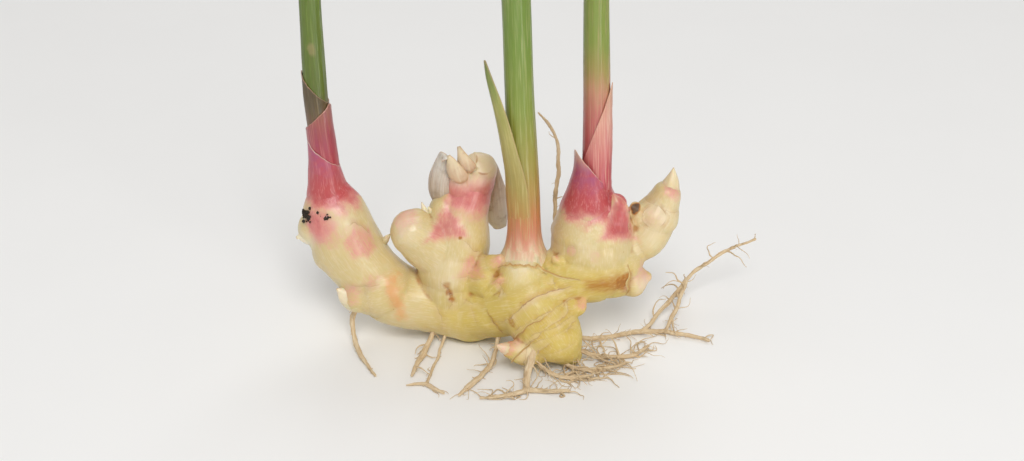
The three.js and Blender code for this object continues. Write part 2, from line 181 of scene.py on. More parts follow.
# Cracks where an old skin has torn: points from end to end, and how plainly each one shows.
CRACKS = [
    ([(-65.8, 13.5, 27.6), (-60.7, 11.5, 27.8), (-54.9, 10.5, 28.6), (-49.5, 10.6, 29.6)], 0.3),
    ([(-49.5, 10.6, 30.0), (-48, 9.6, 25), (-44.5, 8.8, 18.8), (-43, 9, 13.4)], 0.15),
    ([(-61.6, 14.8, 52.6), (-58.6, 15.6, 54), (-55, 17.6, 51.6), (-52.6, 19.4, 46.6)], 0.5),
    ([(6, -8.4, 14.6), (12, -9, 17.6), (18, -7.6, 19.6), (25, -2, 20.4)], 0.35),
    ([(9, -9, 10.6), (16, -9, 12.4), (24, -5, 14.6)], 0.3),
    ([(12, -8.6, 7), (19, -7.4, 9)], 0.25),
    ([(10, -4.4, 29.6), (10.4, -4.8, 26.4)], 0.35),
    ([(12.4, -4, 30), (12.8, -4.6, 27)], 0.35),
    ([(14.6, -3.6, 30.4), (15, -4.2, 27.6)], 0.3),
    ([(-8.6, 6, 19), (-4.6, 3.6, 18), (-1, 0, 18.4)], 0.35),
    ([(-4.6, 4, 37), (-4.2, 3, 33.6), (-3.8, 2.4, 30.6), (-5.4, 3, 27.6)], 1.0),
    ([(-19.9, 15.7, 47.2), (-16.5, 14.5, 44.5), (-12.5, 14, 41.5), (-9.2, 13.2, 40.2)], 0.8),
    ([(-21.5, 9.5, 33.8), (-15, 8.6, 33), (-8.6, 9, 33.2)], 0.35),
    ([(-20, 8, 24), (-14, 8, 22), (-9, 6, 23)], 0.4),
    ([(43.6, 13.6, 62.6), (46, 13, 57), (48.6, 14, 50.6)], 0.7),
    ([(-28.6, 10, 31.6), (-25.4, 9, 29), (-24.3, 8.8, 26), (-23.2, 8.8, 22), (-25, 8.8, 18.6)], 0.8),
    ([(-33, 13, 33.5), (-36.6, 15.4, 36), (-42, 19, 40)], 0.4),
    ([(-1.5, -2.2, 20.5), (1.6, -3, 25.4), (6.8, -2, 30.6), (13.6, 0.9, 32.3), (24, 4.9, 33.8)], 0.95),
    ([(0.4, -4.2, 17.4), (6.5, -5.2, 22.8), (14.3, -4.3, 26.7), (25.1, 3.6, 30.5)], 0.6),
    ([(5.5, -8, 17.6), (11.5, -8.2, 21), (18.1, -6.5, 22.3), (25, -1, 24)], 0.4),
    ([(-30, 9, 21), (-27, 8.4, 14), (-28, 10, 7)], 0.5),
    ([(-9, 5.4, 17), (-3, 3, 19.4), (1.5, -1, 21.5)], 0.55),
    ([(15.5, 4.5, 38), (16.6, 1.5, 33.5)], 0.7),
    ([(8, 26, 18), (16, 25, 24), (26, 26, 26)], 0.6),
    ([(-40, 34, 15), (-36, 34, 22), (-30, 35.5, 26)], 0.5),
]

# Marks on the rhizome's skin: where the middle is, its radius and how strong it is.
OUTLINES = [  # a thin line round a place, with no relief
    (54.0, 17.8, 55.3, 4.4, 0.95), (22.3, 6.8, 47.0, 2.2, 0.3),
]
BUD_EYES = [  # a dormant bud, as a low disc inside a groove
    (-24, 37, 34, 5.0, 0.8),
    (10, 24, 36, 4.0, 0.7), (-55, 35, 24, 4.8, 0.8), (46, 30, 50, 3.6, 0.7), (27, 36, 42, 4.4, 0.7),
]
PATCHES = [  # smooth pink, with a plain edge
    (-62.8, 16.6, 49.8, 2.8, 0.55), (53.8, 17.2, 55.2, 4.1, 0.35),
    (22.3, 6.8, 47.0, 2.4, 0.75), (-40.4, 16.6, 53.0, 4.4, 0.35), (61.5, 24.5, 63, 5.0, 0.6),
]
# Coloured panels of scale leaves grown to the skin: the mark, its strength, how soft its edge
# is, and its corners.
PANELS = [
    ("blush", 0.82, 2.3, [(-59.4, 16, 52.4), (-54.4, 18.5, 47.8), (-52.4, 19.5, 41), (-56, 16, 39),
                         (-61.3, 13.5, 40), (-64.4, 14, 46)]),
    ("blush", 0.75, 2.0, [(-14.5, 15, 39.4), (-21.8, 10, 33), (-10.4, 8.2, 34)]),
    ("flush", 0.54, 2.2, [(-24.6, 22.8, 60), (-16.8, 16.4, 47.6), (-32.6, 11.5, 48)]),
    ("flush", 0.85, 3.2, [(40.4, 17, 68), (33.4, 8.5, 52), (47.8, 13, 48.4)]),
    ("scar", 1.0, 1.6, [(37.4, 8, 35.6), (45.4, 10, 36.4), (45.4, 8, 26.5), (38.4, 7.6, 30)]),
    ("scar", 0.72, 3.0, [(26, 8, 35.8), (42, 10, 36.8), (42, 8, 28), (27, 8, 30.6)]),
    ("stain", 0.72, 2.4, [(-50.2, 10, 31.6), (-44.6, 9.4, 32), (-41, 8.6, 14), (-44.6, 9, 13)]),
]
BLUSHES = [  # pale pink
    (-72.5, 17, 50, 9.5, 0.85), (-0.4, -6.6, 12, 5.6, 0.8), (-69, 21, 56, 8.0, 0.5),
    (-40.6, 18.0, 54.5, 7.4, 0.8), (-62.2, 13.0, 23.8, 6.5, 0.6),
    (-53.5, 12.2, 30.0, 5.0, 0.5), (-15.4, 12.7, 36.5, 6.0, 0.75), (-4.5, 10.5, 41.0, 5.2, 0.6),
    (-5.0, 5.5, 35.0, 4.4, 0.6), (26.9, 1.4, 26.8, 4.4, 0.55), (50.5, 13.0, 32.5, 7.6, 0.8),
    (54.0, 17.8, 55.3, 5.0, 0.4), (60.4, 23.3, 63.5, 4.6, 0.8), (-3.4, -8.4, 12.4, 4.0, 0.8),
    (31.6, 4.6, 46.2, 3.6, 0.35), (16.4, 8.0, 43.0, 2.6, 0.6),
    (-24, 37, 34, 5.4, 0.7), (-8, 32, 24, 4.6, 0.8), (37.6, 37.6, 49, 4.6, 0.8), (-68, 22, 36, 6.0, 0.35),
    (-55, 35, 24, 5.0, 0.6), (46, 30, 50, 4.0, 0.6), (27, 36, 42, 4.6, 0.6), (-39, 28, 49, 5.0, 0.5),
]
FLUSHES = [  # crimson, running out in fibres
    (-75.0, 17.4, 52.0, 8.0, 0.6), (-71.0, 16.6, 51.0, 6.0, 0.45),
]
PALES = [  # whiter skin
    (4.5, 6.0, 40.0, 9.0, 0.5), (-40, 16, 51, 8, 0.5), (5.0, -8.6, 10.6, 6.0, 0.75),
    # The patch at 50.5, 11, 29 is painted light: it lifts the shade on the right branch's bud.
    (50.5, 11, 29, 9, 0.6), (-24, 9, 36, 9, 0.4),
    (-64, 17, 54, 7.0, 0.4), (28, 5, 50, 8, 0.3), (57, 19, 56, 9, 0.5), (53, 15, 48, 8, 0.4),
    (-78, 22, 43.5, 6.5, 0.8),
]
BRUISES = [  # dry brown scar tissue
    (-25.2, 9.2, 29.4, 2.0, 0.7), (-24.4, 8.9, 26.6, 2.4, 1.0), (-23.4, 8.8, 23.8, 1.8, 0.8),
    (46.3, 18.5, 59.0, 3.0, 2.2), (-19.9, 15.7, 47.2, 1.0, 1.0),
    (3.4, -1.7, 29.5, 0.7, 1.0), (19.4, 1.3, 28.0, 0.7, 1.0), (22.1, 7.4, 36.2, 1.7, 0.8),
    (-0.4, -3.4, 20.2, 2.6, 0.6), (14, 25, 24, 3.2, 0.7),
    (-40, 33, 20, 3.0, 0.6), (-64.8, 17.7, 52.7, 1.2, 0.5), (23, 33, 34, 3.0, 0.6),
]
PITS = [  # hollows: middle, radius and depth
    (-24.9, 9, 28, 1.3, 0.6), (-24.1, 8.9, 25.4, 1.4, 0.8), (46.4, 19.6, 60.2, 2.2, 0.9),
    (22.1, 7.4, 36.2, 1.4, 0.6), (14, 25, 24, 2.0, 0.8), (23, 33, 34, 1.8, 0.7),
]

STALK_SIDES = 72  # faces round a stem or sheath

# Stems: stations from inside the rhizome to the cut.
STEMS = {
    "stem_left": [
        (-70.8, 30, 60, 3.6), (-71.1, 30, 64, 4), (-71.9, 30, 82, 4.2), (-72.6, 30, 98, 4.3),
        (-72.7, 30, 113, 4.3), (-72.4, 30, 130, 4.0), (-71.9, 30, 152, 3.85),
    ],
    "stem_middle": [
        (4.4, 13.6, 32, 10.2), (4.6, 14.6, 37, 10.2), (4.8, 15.4, 40, 9.1), (4.8, 15.7, 43, 7.8),
        (4.7, 16, 47.4, 6.8), (4.6, 16, 54, 6.3), (4.2, 16, 72, 6), (2.9, 16, 105, 5.3),
        (1.4, 16, 143, 5.1), (0.8, 16, 161, 5.1),
    ],
    "stem_right": [
        (31.9, 23, 60, 4.4), (31.7, 23, 75, 5.2), (31.2, 23, 100, 4.95), (30.6, 23, 117, 4.85),
        (29.9, 23, 140, 4.5), (29.4, 23, 156, 4.35),
    ],
}

# A dry scar on a stem is taller than wide, so it is marked round on a squatter stem.
SCAR_SQUAT = 0.7
STEM_SCARS = {"stem_left": [(-72.4, 26.0, 120.5 * SCAR_SQUAT, 1.9, 0.75)]}

# The cut end, from its edge inwards: share of the radius that is left, and the rise in mm.
CUT_STEPS = [
    (0.97, 0), (0.86, 0), (0.84, -0.35), (0.81, 0), (0.79, 0.25), (0.68, 0), (0.66, -0.4), (0.62, 0),
    (0.6, 0.45), (0.48, 0), (0.46, -0.4), (0.42, 0), (0.4, 0.3), (0.26, 0), (0.24, -0.3), (0.2, 0),
    (0.18, 0.2), (0.04, 0.05),
]

# Sheaths that wrap a stem: stations of the outer surface, the direction in degrees in which
# the slanted rim is highest, and how much higher it is there than across from it.
SHEATHS = {
    "sheath_left_inner": {
        "highest": 182, "slant": 11, "point": 1.8, "wall": 0.3,
        "stations": [(-72, 30, 84, 4.6), (-72.6, 30, 96, 4.75), (-72.8, 30, 103.5, 4.7)],
    },
    "sheath_left_middle": {
        "highest": -20, "slant": 10, "point": 1.4, "wall": 0.3,
        "stations": [(-71.3, 30, 71, 5.5), (-71.9, 30, 82, 5.3), (-72.5, 30, 91.6, 5.05)],
    },
    "sheath_left_outer": {
        "highest": 200, "slant": 10, "point": 1.6, "wall": 0.3,
        "stations": [
            (-69.2, 29, 54.2, 9.9), (-70.1, 29.5, 58.5, 9.2), (-70.9, 29.8, 64.5, 7.3),
            (-71.5, 30, 75.8, 5.75),
        ],
    },
    "sheath_right_inner": {
        "highest": -14, "slant": 34, "point": 3.0, "wall": 0.25,
        "stations": [(31.9, 23, 61, 6.6), (31.8, 23, 66, 6.0), (31.7, 23, 78, 5.75), (31.2, 23, 90, 5.45)],
    },
    "sheath_right_outer": {
        "highest": 200, "slant": 17, "point": 1.0, "wall": 0.35,
        "stations": [
            (30.5, 21.9, 53, 13.0), (30.4, 22.2, 57, 12.3), (30.2, 22.5, 60.5, 10.5),
            (30.2, 22.8, 64.6, 8.6), (30.2, 22.8, 68.5, 7.2), (29.8, 22.6, 73, 6.5),
        ],
    },
}

# Loose scale leaves: stations of x, y, z and half width along the middle line, the way the
# outer side faces, how far it bends across in degrees, and how far its margin waves.
SCALES = {
    "leaf_middle": {
        "face": (-0.62, -0.78, 0), "bend": 60, "wave": 0.08, "wall": 0.5,
        "stations": [
            (0.95, 11.55, 56, 5.0), (0.5, 11.2, 62, 5.3), (0.1, 10.85, 69, 5.3), (-0.5, 10.2, 77, 4.5),
            (-1.9, 9.9, 86, 3.7), (-3.8, 10.6, 96, 3.0), (-6, 11.6, 105.5, 2.3), (-8.4, 12.4, 115, 1.4),
            (-9.7, 13, 122.4, 0.25),
        ],
    },
    "scale_right_flank": {
        "face": (0.5, -0.8, 0.35), "bend": 48, "wave": 0.12, "wall": 0.4,
        "stations": [
            (40.4, 6.6, 50, 6.4), (41.0, 9.2, 55.4, 5.4), (40.6, 12.4, 60.2, 3.9),
            (39.4, 15.2, 63.6, 2.0), (38.2, 17.0, 65.8, 0.5),
        ],
    },
    "bract_outer_left": {
        "face": (-0.3, -0.95, 0), "bend": 52, "wave": 0.3, "wall": 0.6,
        "stations": [
            (-26.6, 27.6, 54, 2.8), (-28.4, 26.2, 60, 4.5), (-28.3, 26.0, 65, 4.5),
            (-27.2, 26.4, 70.4, 3.6), (-26.2, 26.4, 74.6, 2.9), (-25.6, 25.0, 77.2, 2.3),
            (-25.5, 23.6, 76.6, 1.3),
        ],
    },
    "bract_tooth_left": {
        "face": (-0.35, -0.93, 0.1), "bend": 68, "wave": 0.1, "wall": 0.9,
        "stations": [
            (-20.2, 23.8, 66.8, 2.6), (-20.8, 22.4, 68.8, 3.8), (-21.9, 22.1, 72, 3.4),
            (-23, 22.8, 75.6, 2.0), (-24.0, 24.2, 78.4, 0.3),
        ],
    },
    "bract_tooth_right": {
        "face": (-0.2, -0.97, 0.1), "bend": 66, "wave": 0.1, "wall": 0.9,
        "stations": [
            (-16.4, 25.2, 70.6, 2.4), (-17.1, 23.6, 72.6, 3.2), (-18, 23, 75.8, 2.6),
            (-19.1, 23.5, 79, 1.4), (-20.0, 24.6, 82, 0.25),
        ],
    },
    "bract_outer_right": {
        "face": (0.25, -0.96, 0.1), "bend": 50, "wave": 0.4, "wall": 0.6,
        "stations": [
            (-8.6, 37, 69.4, 1.2), (-7.4, 37.6, 64, 2.8), (-6.6, 38.2, 57, 3.8),
            (-6.0, 38.5, 49.6, 4.6), (-5.4, 38.5, 43, 4.6), (-4.6, 38.6, 37.6, 2.4),
        ],
    },
}

# Bud tips and spikes: stations from the bud to the point.
TIPS = {
    "spike_knob": [
        (-32.6, 24.5, 50, 1.8), (-32.8, 24.4, 51.6, 1.6), (-33.8, 24, 55.4, 1), (-34.6, 24, 58, 0.25),
    ],
    "spike_left_finger": [
        (-51.2, 27.8, 37, 1.8), (-50.6, 27.4, 38, 1.7), (-48.8, 26.8, 40.6, 1.1),
        (-47.7, 26.4, 42.4, 0.25),
    ],
    "tip_left_upper": [
        (-74.6, 25.2, 44.8, 7.0), (-78, 24, 44.2, 5.4), (-80.8, 23, 43.8, 3.2), (-82.8, 22.2, 43.6, 0.8),
    ],
    "tip_left_lower": [
        (-58.6, 16.4, 20, 6.6), (-61.8, 15.4, 20.6, 6.0), (-65, 14.4, 22.4, 3.8), (-67.6, 13.6, 25, 0.7),
    ],
    "tip_front_bud": [
        (0.6, -6.6, 10.8, 3.3), (-1.2, -7, 11.4, 2.9), (-4, -7.8, 13, 1.7), (-5.7, -8.2, 14.1, 0.3),
    ],
    "tip_right_finger": [
        (59.2, 26, 60, 5.1), (60, 26.1, 62.4, 4.4), (61, 26.6, 66.8, 2.6), (61.4, 27, 71.4, 0.3),
    ],
}

# A second, shorter point beside the first.
SECOND_POINTS = {
    "spike_knob": [
        (-31.4, 24.6, 50, 1.6), (-31.2, 24.6, 51.4, 1.5), (-31.2, 24.4, 54, 1.0), (-32.2, 24.2, 56, 0.25),
    ],
}

# How pale each tip turns towards its point, and how pink its base and its point are.
TIP_TINTS = {
    "spike_knob": (1.0, 0, 0), "spike_left_finger": (0.8, 0, 0), "tip_left_upper": (1.0, 0, 0),
    "tip_left_lower": (0.9, 0, 0), "tip_front_bud": (0.5, 0.6, 0.7), "tip_right_finger": (0.65, 0.6, 0),
}

# The closed shoot's cap: its main body, the fold on its left, the knot where its scales meet, and
# the folds round the knot, each with its turn in radians and its twist for each millimetre.
CAP = [(-14.8, 32.2, 60.5, 7.2), (-13.9, 31.8, 64.4, 7.6), (-12.7, 32.2, 67.6, 7.0)]
CAP_LEFT = [(-19.2, 29.6, 60.6, 6.4), (-19.6, 28.4, 66.6, 4.8), (-19.2, 27.2, 71, 3.0)]
CAP_KNOT = (-14.6, 25.9, 72.2)
CAP_FOLDS = [(-1.3, 0.12), (0.5, 0.1), (2.0, 0.12)]

ROOT_SLIMMING = 0.8  # how thick a finished root is, as a share of its CAD piece

# Main roots: for each, its strands of stations.
ROOTS = {
    "root_right_long": [
        [(22, 4, 8.6, 1.5), (26.5, 7.5, 6.4, 1.3), (34, 13, 2.4, 1.2), (43.5, 17, 1.3, 1.15),
         (53.5, 19.6, 1.25, 1.2), (67, 18, 1.2, 1.1), (78, 13.4, 1, 0.9)],
        [(52, 19, 1.4, 1.1), (56, 24, 2.6, 1.1), (62.3, 32, 5, 1.1), (68.7, 38, 9.4, 1.1),
         (75, 44, 13.8, 1), (88, 50, 20, 0.85), (100.5, 54, 23.4, 0.55)],
        [(61, 18.6, 1.3, 1), (65, 26, 4.4, 1), (68.4, 34, 8.2, 1), (71.5, 40.6, 11.6, 0.9)],
    ],
    "root_right_middle": [
        [(21, 0, 7, 1.4), (26.6, 0.6, 5, 1.2), (33.2, 1.8, 2, 1.1), (40, 2.3, 1.2, 1.1),
         (47, 3.2, 1.1, 1), (54, 9.6, 0.9, 0.7)],
    ],
    "root_right_low": [
        [(18, -2, 5, 1.3), (22, -5, 2.2, 1.1), (29, -6.4, 1.2, 1.1), (38, -4.4, 1.1, 1),
         (44.4, -1, 0.9, 0.7)],
    ],
    "root_front_right": [
        [(9, -5, 5.6, 1.2), (11.8, -7.4, 2.8, 1.05), (18.6, -10.6, 1.1, 1), (26, -11, 1, 1),
         (31.4, -9.4, 0.8, 0.6)],
    ],
    "root_front": [
        [(9.4, -4, 14.4, 1.8), (7.6, -9.6, 10.4, 1.7), (6.1, -13.6, 5.2, 1.65), (5, -19.6, 1.8, 1.6)],
        [(4.9, -19, 1.5, 1.3), (12.4, -19.4, 1.15, 1.1), (21, -19.6, 1.05, 0.9)],
        [(5.2, -19.6, 1.5, 1.3), (-2.6, -22.4, 1.1, 1), (-12, -23.6, 0.8, 0.6)],
    ],
    "root_front_left": [
        [(-5, 9, 8.4, 1.2), (-6.2, 2, 4.6, 1), (-8, -3, 1.8, 1.1), (-11, -8.6, 1.3, 1.2),
         (-15.4, -15.6, 1.4, 1.3), (-19.9, -22, 0.9, 0.7)],
    ],
    "root_left_thick": [
        [(-31, 15, 7, 1.4), (-32.6, 9.6, 3.6, 1.3), (-34.6, 4.2, 1.6, 1.4), (-37, -3.4, 1.4, 1.3),
         (-38.4, -9.6, 0.9, 0.7)],
    ],
    "root_left_thin": [
        [(-26, 14, 5, 0.8), (-27.4, 9, 2.6, 0.7), (-29.6, 1, 0.9, 0.7), (-31.6, -9, 0.8, 0.7),
         (-32.2, -14.4, 0.9, 0.8)],
        [(-39.6, -15.6, 0.8, 0.6), (-33.6, -14.8, 1, 0.9), (-29.4, -17.6, 1, 1), (-26, -20.6, 0.8, 0.6)],
    ],
    "root_left_far": [
        [(-58, 20, 18, 1.5), (-63, 15.4, 9.4, 1.3), (-61.6, 9, 3, 1.2), (-57.6, 0, 1.2, 1.1),
         (-52.2, -9.6, 0.8, 0.6)],
    ],
    "root_back": [
        [(10, 18, 22, 1.5), (14.5, 27.5, 22, 1.3), (17.8, 35, 31, 1.2), (17.2, 42.4, 42.4, 1.15),
         (18.2, 50, 53.6, 1.1), (18.6, 56, 64, 1), (15.6, 60, 72, 0.85), (10.6, 62, 77.8, 0.5)],
    ],
}

# Rootlets: how many grow from each root, and how long the longest is.
ROOTLETS = {
    "root_right_long": (74, 16), "root_right_middle": (60, 20), "root_right_low": (56, 20),
    "root_front_right": (46, 18), "root_front": (46, 16), "root_front_left": (26, 12),
    "root_left_thick": (10, 9), "root_left_thin": (12, 9), "root_left_far": (5, 6), "root_back": (8, 8),
}

# Crumbs of soil: grains in each, how many of them are pressed together, middle and radius.
GRAINS = 40
PRESSED_GRAINS = 36
SOIL = {
    "soil_crumb_large": (-79.0, 20.6, 54.2, 2.7),
    "soil_crumb_middle": (-70, 18.2, 55.0, 1.3),
    "soil_crumb_small": (-73.6, 19.2, 56.4, 0.8),
}

# Papery remains of scale leaves: the finger, the distance along it, the start and end turn
# in degrees from straight down the front, how wide the strip is, and how far it runs lower
# at the back than at the front.
SKIN_FLAKES = [
    ("neck", 11.1, -70, 6, 1.9, 3.5), ("neck", 10.9, -6, 62, 1.7, 3.5),
    ("right_branch", 31.4, -60, 34, 1.3, 0),
    ("trunk", 17.4, -30, 26, 1.1, 0), ("neck", 11.0, 110, 240, 1.7, 3.5),
    ("left_finger", 46, 140, 215, 1.2, 0), ("second_lobe", 24, 130, 200, 1.2, 0),
    ("right_lobe", 13.5, 140, 220, 1.3, 0),
    ("foot", 12.6, -30, 60, 1.0, 0), ("foot", 16.6, 10, 80, 0.9, 0),
]

# Finishes of the stalks: colours at heights in mm, then the light fibres, the dark fibres, and
# how strong clouds of the dark colour are.
STALK_LOOKS = {
    "stem_left_leaf_sheath": (
        [(60, "#A9504A"), (94, "#66582A"), (104, "#56661C"), (126, "#5C7022"), (152, "#607828")],
        "#8C9A50", "#76763C", 0.25,
    ),
    "stem_middle_leaf_sheath": (
        [(36, "#E6D8B4"), (41, "#E5D2AE"), (45, "#DDAE90"), (49, "#D08A70"), (54, "#C97A58"),
         (60, "#BE7E4A"), (67, "#B08A47"), (82, "#9C9040"), (104, "#7F8F36"), (130, "#6E8830"),
         (161, "#6A8434")],
        "#C2BE86", "#7F8A3A", 0.25,
    ),
    "stem_right_leaf_sheath": (
        [(60, "#A93C46"), (86, "#B24850"), (98, "#BC6660"), (107, "#BE8468"), (115, "#9E8C4C"),
         (126, "#80903A"), (156, "#768C36")],
        "#BE9C7C", "#8C8A4A", 0.25,
    ),
    "sheath_left_inner_leaf_sheath": (
        [(80, "#8C4E42"), (90, "#70503A"), (97, "#5A4C30"), (112, "#4C4028")],
        "#8B774E", "#6B5040", 0.25,
    ),
    "sheath_left_leaf_sheath": (
        [(53, "#E3C49A"), (57.5, "#DB8A74"), (62, "#C2494C"), (72, "#AE3C46"), (84, "#A04650"),
         (92, "#9C5650"), (100, "#8E6450")],
        "#D58A86", "#9D4A66", 0.4,
    ),
    "sheath_right_leaf_sheath": (
        [(58, "#B03C45"), (72, "#BA4850"), (84, "#CC7A72"), (96, "#D69C88"), (112, "#C8A27C")],
        "#EBC4B4", "#B85A66", 0.25,
    ),
    "leaf_blade": (
        [(56, "#BC7E49"), (63, "#B38B49"), (72, "#A8944E"), (84, "#A89A58"), (104, "#9C9A54"),
         (113, "#7F8B45"), (123, "#5A6932")],
        "#CDBE80", "#8E8E45", 0.25,
    ),
}

# Finishes of the scale leaves: base, tip, blotches and veins, and how much light passes in.
SCALE_LOOKS = {
    "cream_bud_scale": ("#D2B292", "#DCCAA8", "#C09F80", "#E6D8BC", 0.3),
    "grey_bud_scale": ("#B39F88", "#D0CABF", "#988876", "#E0DBD1", 0.3),
    "papery_skin_flake": ("#D8C084", "#BE9450", "#A87A3E", "#E4D4A4", 0.15),
}

# Camera: it looks along +Y, tilted down.
CAMERA_TILT = math.radians(31)
CAMERA_DISTANCE = 0.523
CAMERA_AIM = Vector((0, 0, 60)) * MM
CAMERA_LENS = 50


# ---------------------------------------------------------------- settings


def linear(hex_colour):
    """An sRGB hex colour as linear red, green and blue."""
    parts = [int(hex_colour[i:i + 2], 16) / 255 for i in (1, 3, 5)]
    return tuple(p / 12.92 if p <= 0.04045 else ((p + 0.055) / 1.055) ** 2.4 for p in parts)


def tint(hex_colour, name, description):
    """A colour property with its default."""
    return bpy.props.FloatVectorProperty(
        name=name, description=description, subtype="COLOR", size=3, min=0, max=1,
        default=linear(hex_colour),
    )


def size(millimetres, name, description):
    """A length property with its default in millimetres."""
    return bpy.props.FloatProperty(
        name=name, description=description, default=millimetres * MM, unit="LENGTH", precision=5,
    )


class GingerSizes(bpy.types.PropertyGroup):
    """Sizes of the modelled detail."""

    skin_grid: size(0.6, "Skin grid", "Spacing of the rhizome's mesh")
    root_grid: size(0.28, "Root grid", "Spacing of the roots' mesh")
    swell: size(0.7, "Swell", "How far the rhizome swells between two rings")
    ring_height: size(0.22, "Ring height", "Height of the ridge that a scale leaf leaves")
    eye_height: size(0.45, "Eye height", "How far a dormant bud stands out")
    lumps: size(0.7, "Lumps", "Depth of the broad unevenness of the skin")
    wrinkles: size(0.07, "Wrinkles", "Depth of the fine lengthwise wrinkles")
    flake_lift: size(0.7, "Flake lift", "How far a papery flake stands off the skin")
    rootlet: size(0.25, "Rootlet radius", "Radius of a rootlet where it leaves its root")


class GingerColours(bpy.types.PropertyGroup):
    """Colours of the fresh root."""

    cream: tint("#D5C08C", "Cream", "Young skin")
    # Ochre also deepens the skin below the right lobe as painted shade.
    ochre: tint("#CFB65F", "Ochre", "Riper skin round the mother piece")
    # Ivory also lightens the shaded right branch's bud as painted light.
    ivory: tint("#EBDDBF", "Ivory", "Palest skin")
    blush: tint("#DC8E89", "Blush", "Pink skin over the buds")
    crimson: tint("#BC4449", "Crimson", "Skin under the stems")
    rose: tint("#DC928C", "Rose", "Paler fibres in the crimson skin")
    purple: tint("#A4557C", "Purple", "Shaded side of the sheaths")
    # The scar colour also browns the creases and the cap's folds as painted shade.
    scar: tint("#A86412", "Scar", "Dry scar tissue")
    amber: tint("#DF9A5C", "Amber", "Skin stained under a scale leaf")
    dead: tint("#5A4A3A", "Dead", "Dried stub")
    crack: tint("#94602A", "Crack", "Rings and cracks")
    root: tint("#CCB18B", "Root", "Roots")
    soil: tint("#2E251D", "Soil", "Crumbs of soil")


class GingerStage(bpy.types.PropertyGroup):
    """The floor and the lights."""

    floor: tint("#F3F2F0", "Floor", "Colour of the floor")
    key: bpy.props.FloatProperty(
        name="Key light", description="Power of the large soft light", default=22.5, unit="POWER",
    )
    fill: bpy.props.FloatProperty(
        name="Fill light", description="Power of the side light", default=0.7, unit="POWER",
    )
    sky: bpy.props.FloatProperty(
        name="Sky", description="Strength of the surroundings", default=0.36,
    )


# ---------------------------------------------------------------- lines and grids


def smooth_line(stations, step):
    """Points on a smooth line through the stations about a step apart, with the radius, in mm."""
    knots = np.array(stations, float)
    knots[:, :3] -= DATUM
    ends = np.vstack([2 * knots[0] - knots[1], knots, 2 * knots[-1] - knots[-2]])
    t = np.linspace(0, 1, 40, endpoint=False)[:, None]
    dense = []
    for a, b, c, d in zip(ends, ends[1:], ends[2:], ends[3:]):
        square, cube = 2 * a - 5 * b + 4 * c - d, 3 * b - a - 3 * c + d
        dense.append(0.5 * (2 * b + (c - a) * t + square * t**2 + cube * t**3))
    dense = np.vstack([*dense, knots[-1:]])
    travel = np.r_[0, np.cumsum(np.linalg.norm(np.diff(dense[:, :3], axis=0), axis=1))]
    count = max(2, round(travel[-1] / step) + 1)
    at = np.linspace(0, travel[-1], count)
    line = np.column_stack([np.interp(at, travel, column) for column in dense.T])
    line[:, 3] = np.maximum(line[:, 3], 0.05)
    return line, at


def gap_to(points, x, y, z):
    """How far each point is from a place in the tables, in mm."""
    return np.linalg.norm(points - (np.array([x, y, z]) - DATUM), axis=1)


def unit(vectors):
    """Vectors at length one."""
    return vectors / np.maximum(np.linalg.norm(vectors, axis=-1, keepdims=True), 1e-12)


def square_on(points):
    """Directions along, beside and above each point of a line, carried on without twisting."""
    along = unit(np.gradient(points, axis=0))
    start = np.array([0.0, 1.0, 0.0]) if abs(along[0][1]) < 0.8 else np.array([1.0, 0.0, 0.0])
    beside = np.empty_like(along)
    carried = start
    for i, direction in enumerate(along):
        carried = unit(carried - direction * (carried @ direction))
        beside[i] = carried
    return along, beside, np.cross(along, beside)


def coordinates(obj):
    """The mesh's points, in mm."""
    flat = np.empty(len(obj.data.vertices) * 3)
    obj.data.vertices.foreach_get("co", flat)
    return flat.reshape(-1, 3) / MM


def place(obj, points):
    """Moves the mesh's points, given in mm, and keeps them above the surface."""
    points = np.array(points, float)
    points[:, 2] = np.maximum(points[:, 2], 0)
    obj.data.vertices.foreach_set("co", (points * MM).ravel())
    obj.data.update()


def normals(obj):
    """The mesh's point normals."""
    flat = np.empty(len(obj.data.vertices) * 3)
    obj.data.vertex_normals.foreach_get("vector", flat)
    return flat.reshape(-1, 3)


def store(obj, name, values):
    """Keeps a number or a vector for each point of the mesh, for its material to read."""
    values = np.asarray(values, np.float32)
    kind, key = ("FLOAT", "value") if values.ndim == 1 else ("FLOAT_VECTOR", "vector")
    attribute = obj.data.attributes.get(name) or obj.data.attributes.new(name, kind, "POINT")
    attribute.data.foreach_set(key, values.ravel())


def read_back(obj, name):
    """The numbers kept for each point of the mesh under a name."""
    values = np.empty(len(obj.data.vertices))
    obj.data.attributes[name].data.foreach_get("value", values)
    return values


def rough(points, grain, shift=0.0):
    """Smooth noise from about -1 to 1 at each point; its lumps are a grain across."""
    offset = Vector((shift, shift * 1.7, shift * 0.3))
    return np.array([noise.noise(Vector(p) / grain + offset) for p in points])


def smoothstep(low, high, value):
    """0 below low, 1 above high, and smooth between."""
    t = np.clip((np.asarray(value) - low) / (high - low), 0, 1)
    return t * t * (3 - 2 * t)


# ---------------------------------------------------------------- modelling by hand


def only(obj):
    """Selects one object alone and makes it active."""
    bpy.ops.object.select_all(action="DESELECT")
    obj.select_set(True)
    bpy.context.view_layer.objects.active = obj


def started(name):
    """The object that was just made, named with its mesh."""
    obj = bpy.context.object
    obj.name = name
    obj.data.name = name
    return obj


def apply(obj, kind, **settings):
    """Adds a modifier and applies it."""
    only(obj)
    modifier = obj.modifiers.new(kind.title(), kind)
    for key, value in settings.items():
        setattr(modifier, key, value)
    bpy.ops.object.modifier_apply(modifier=modifier.name)


def joined(name, parts):
    """Joins the parts into one mesh."""
    only(parts[0])
    for part in parts:
        part.select_set(True)
    if len(parts) > 1:
        bpy.ops.object.join()
    return started(name)


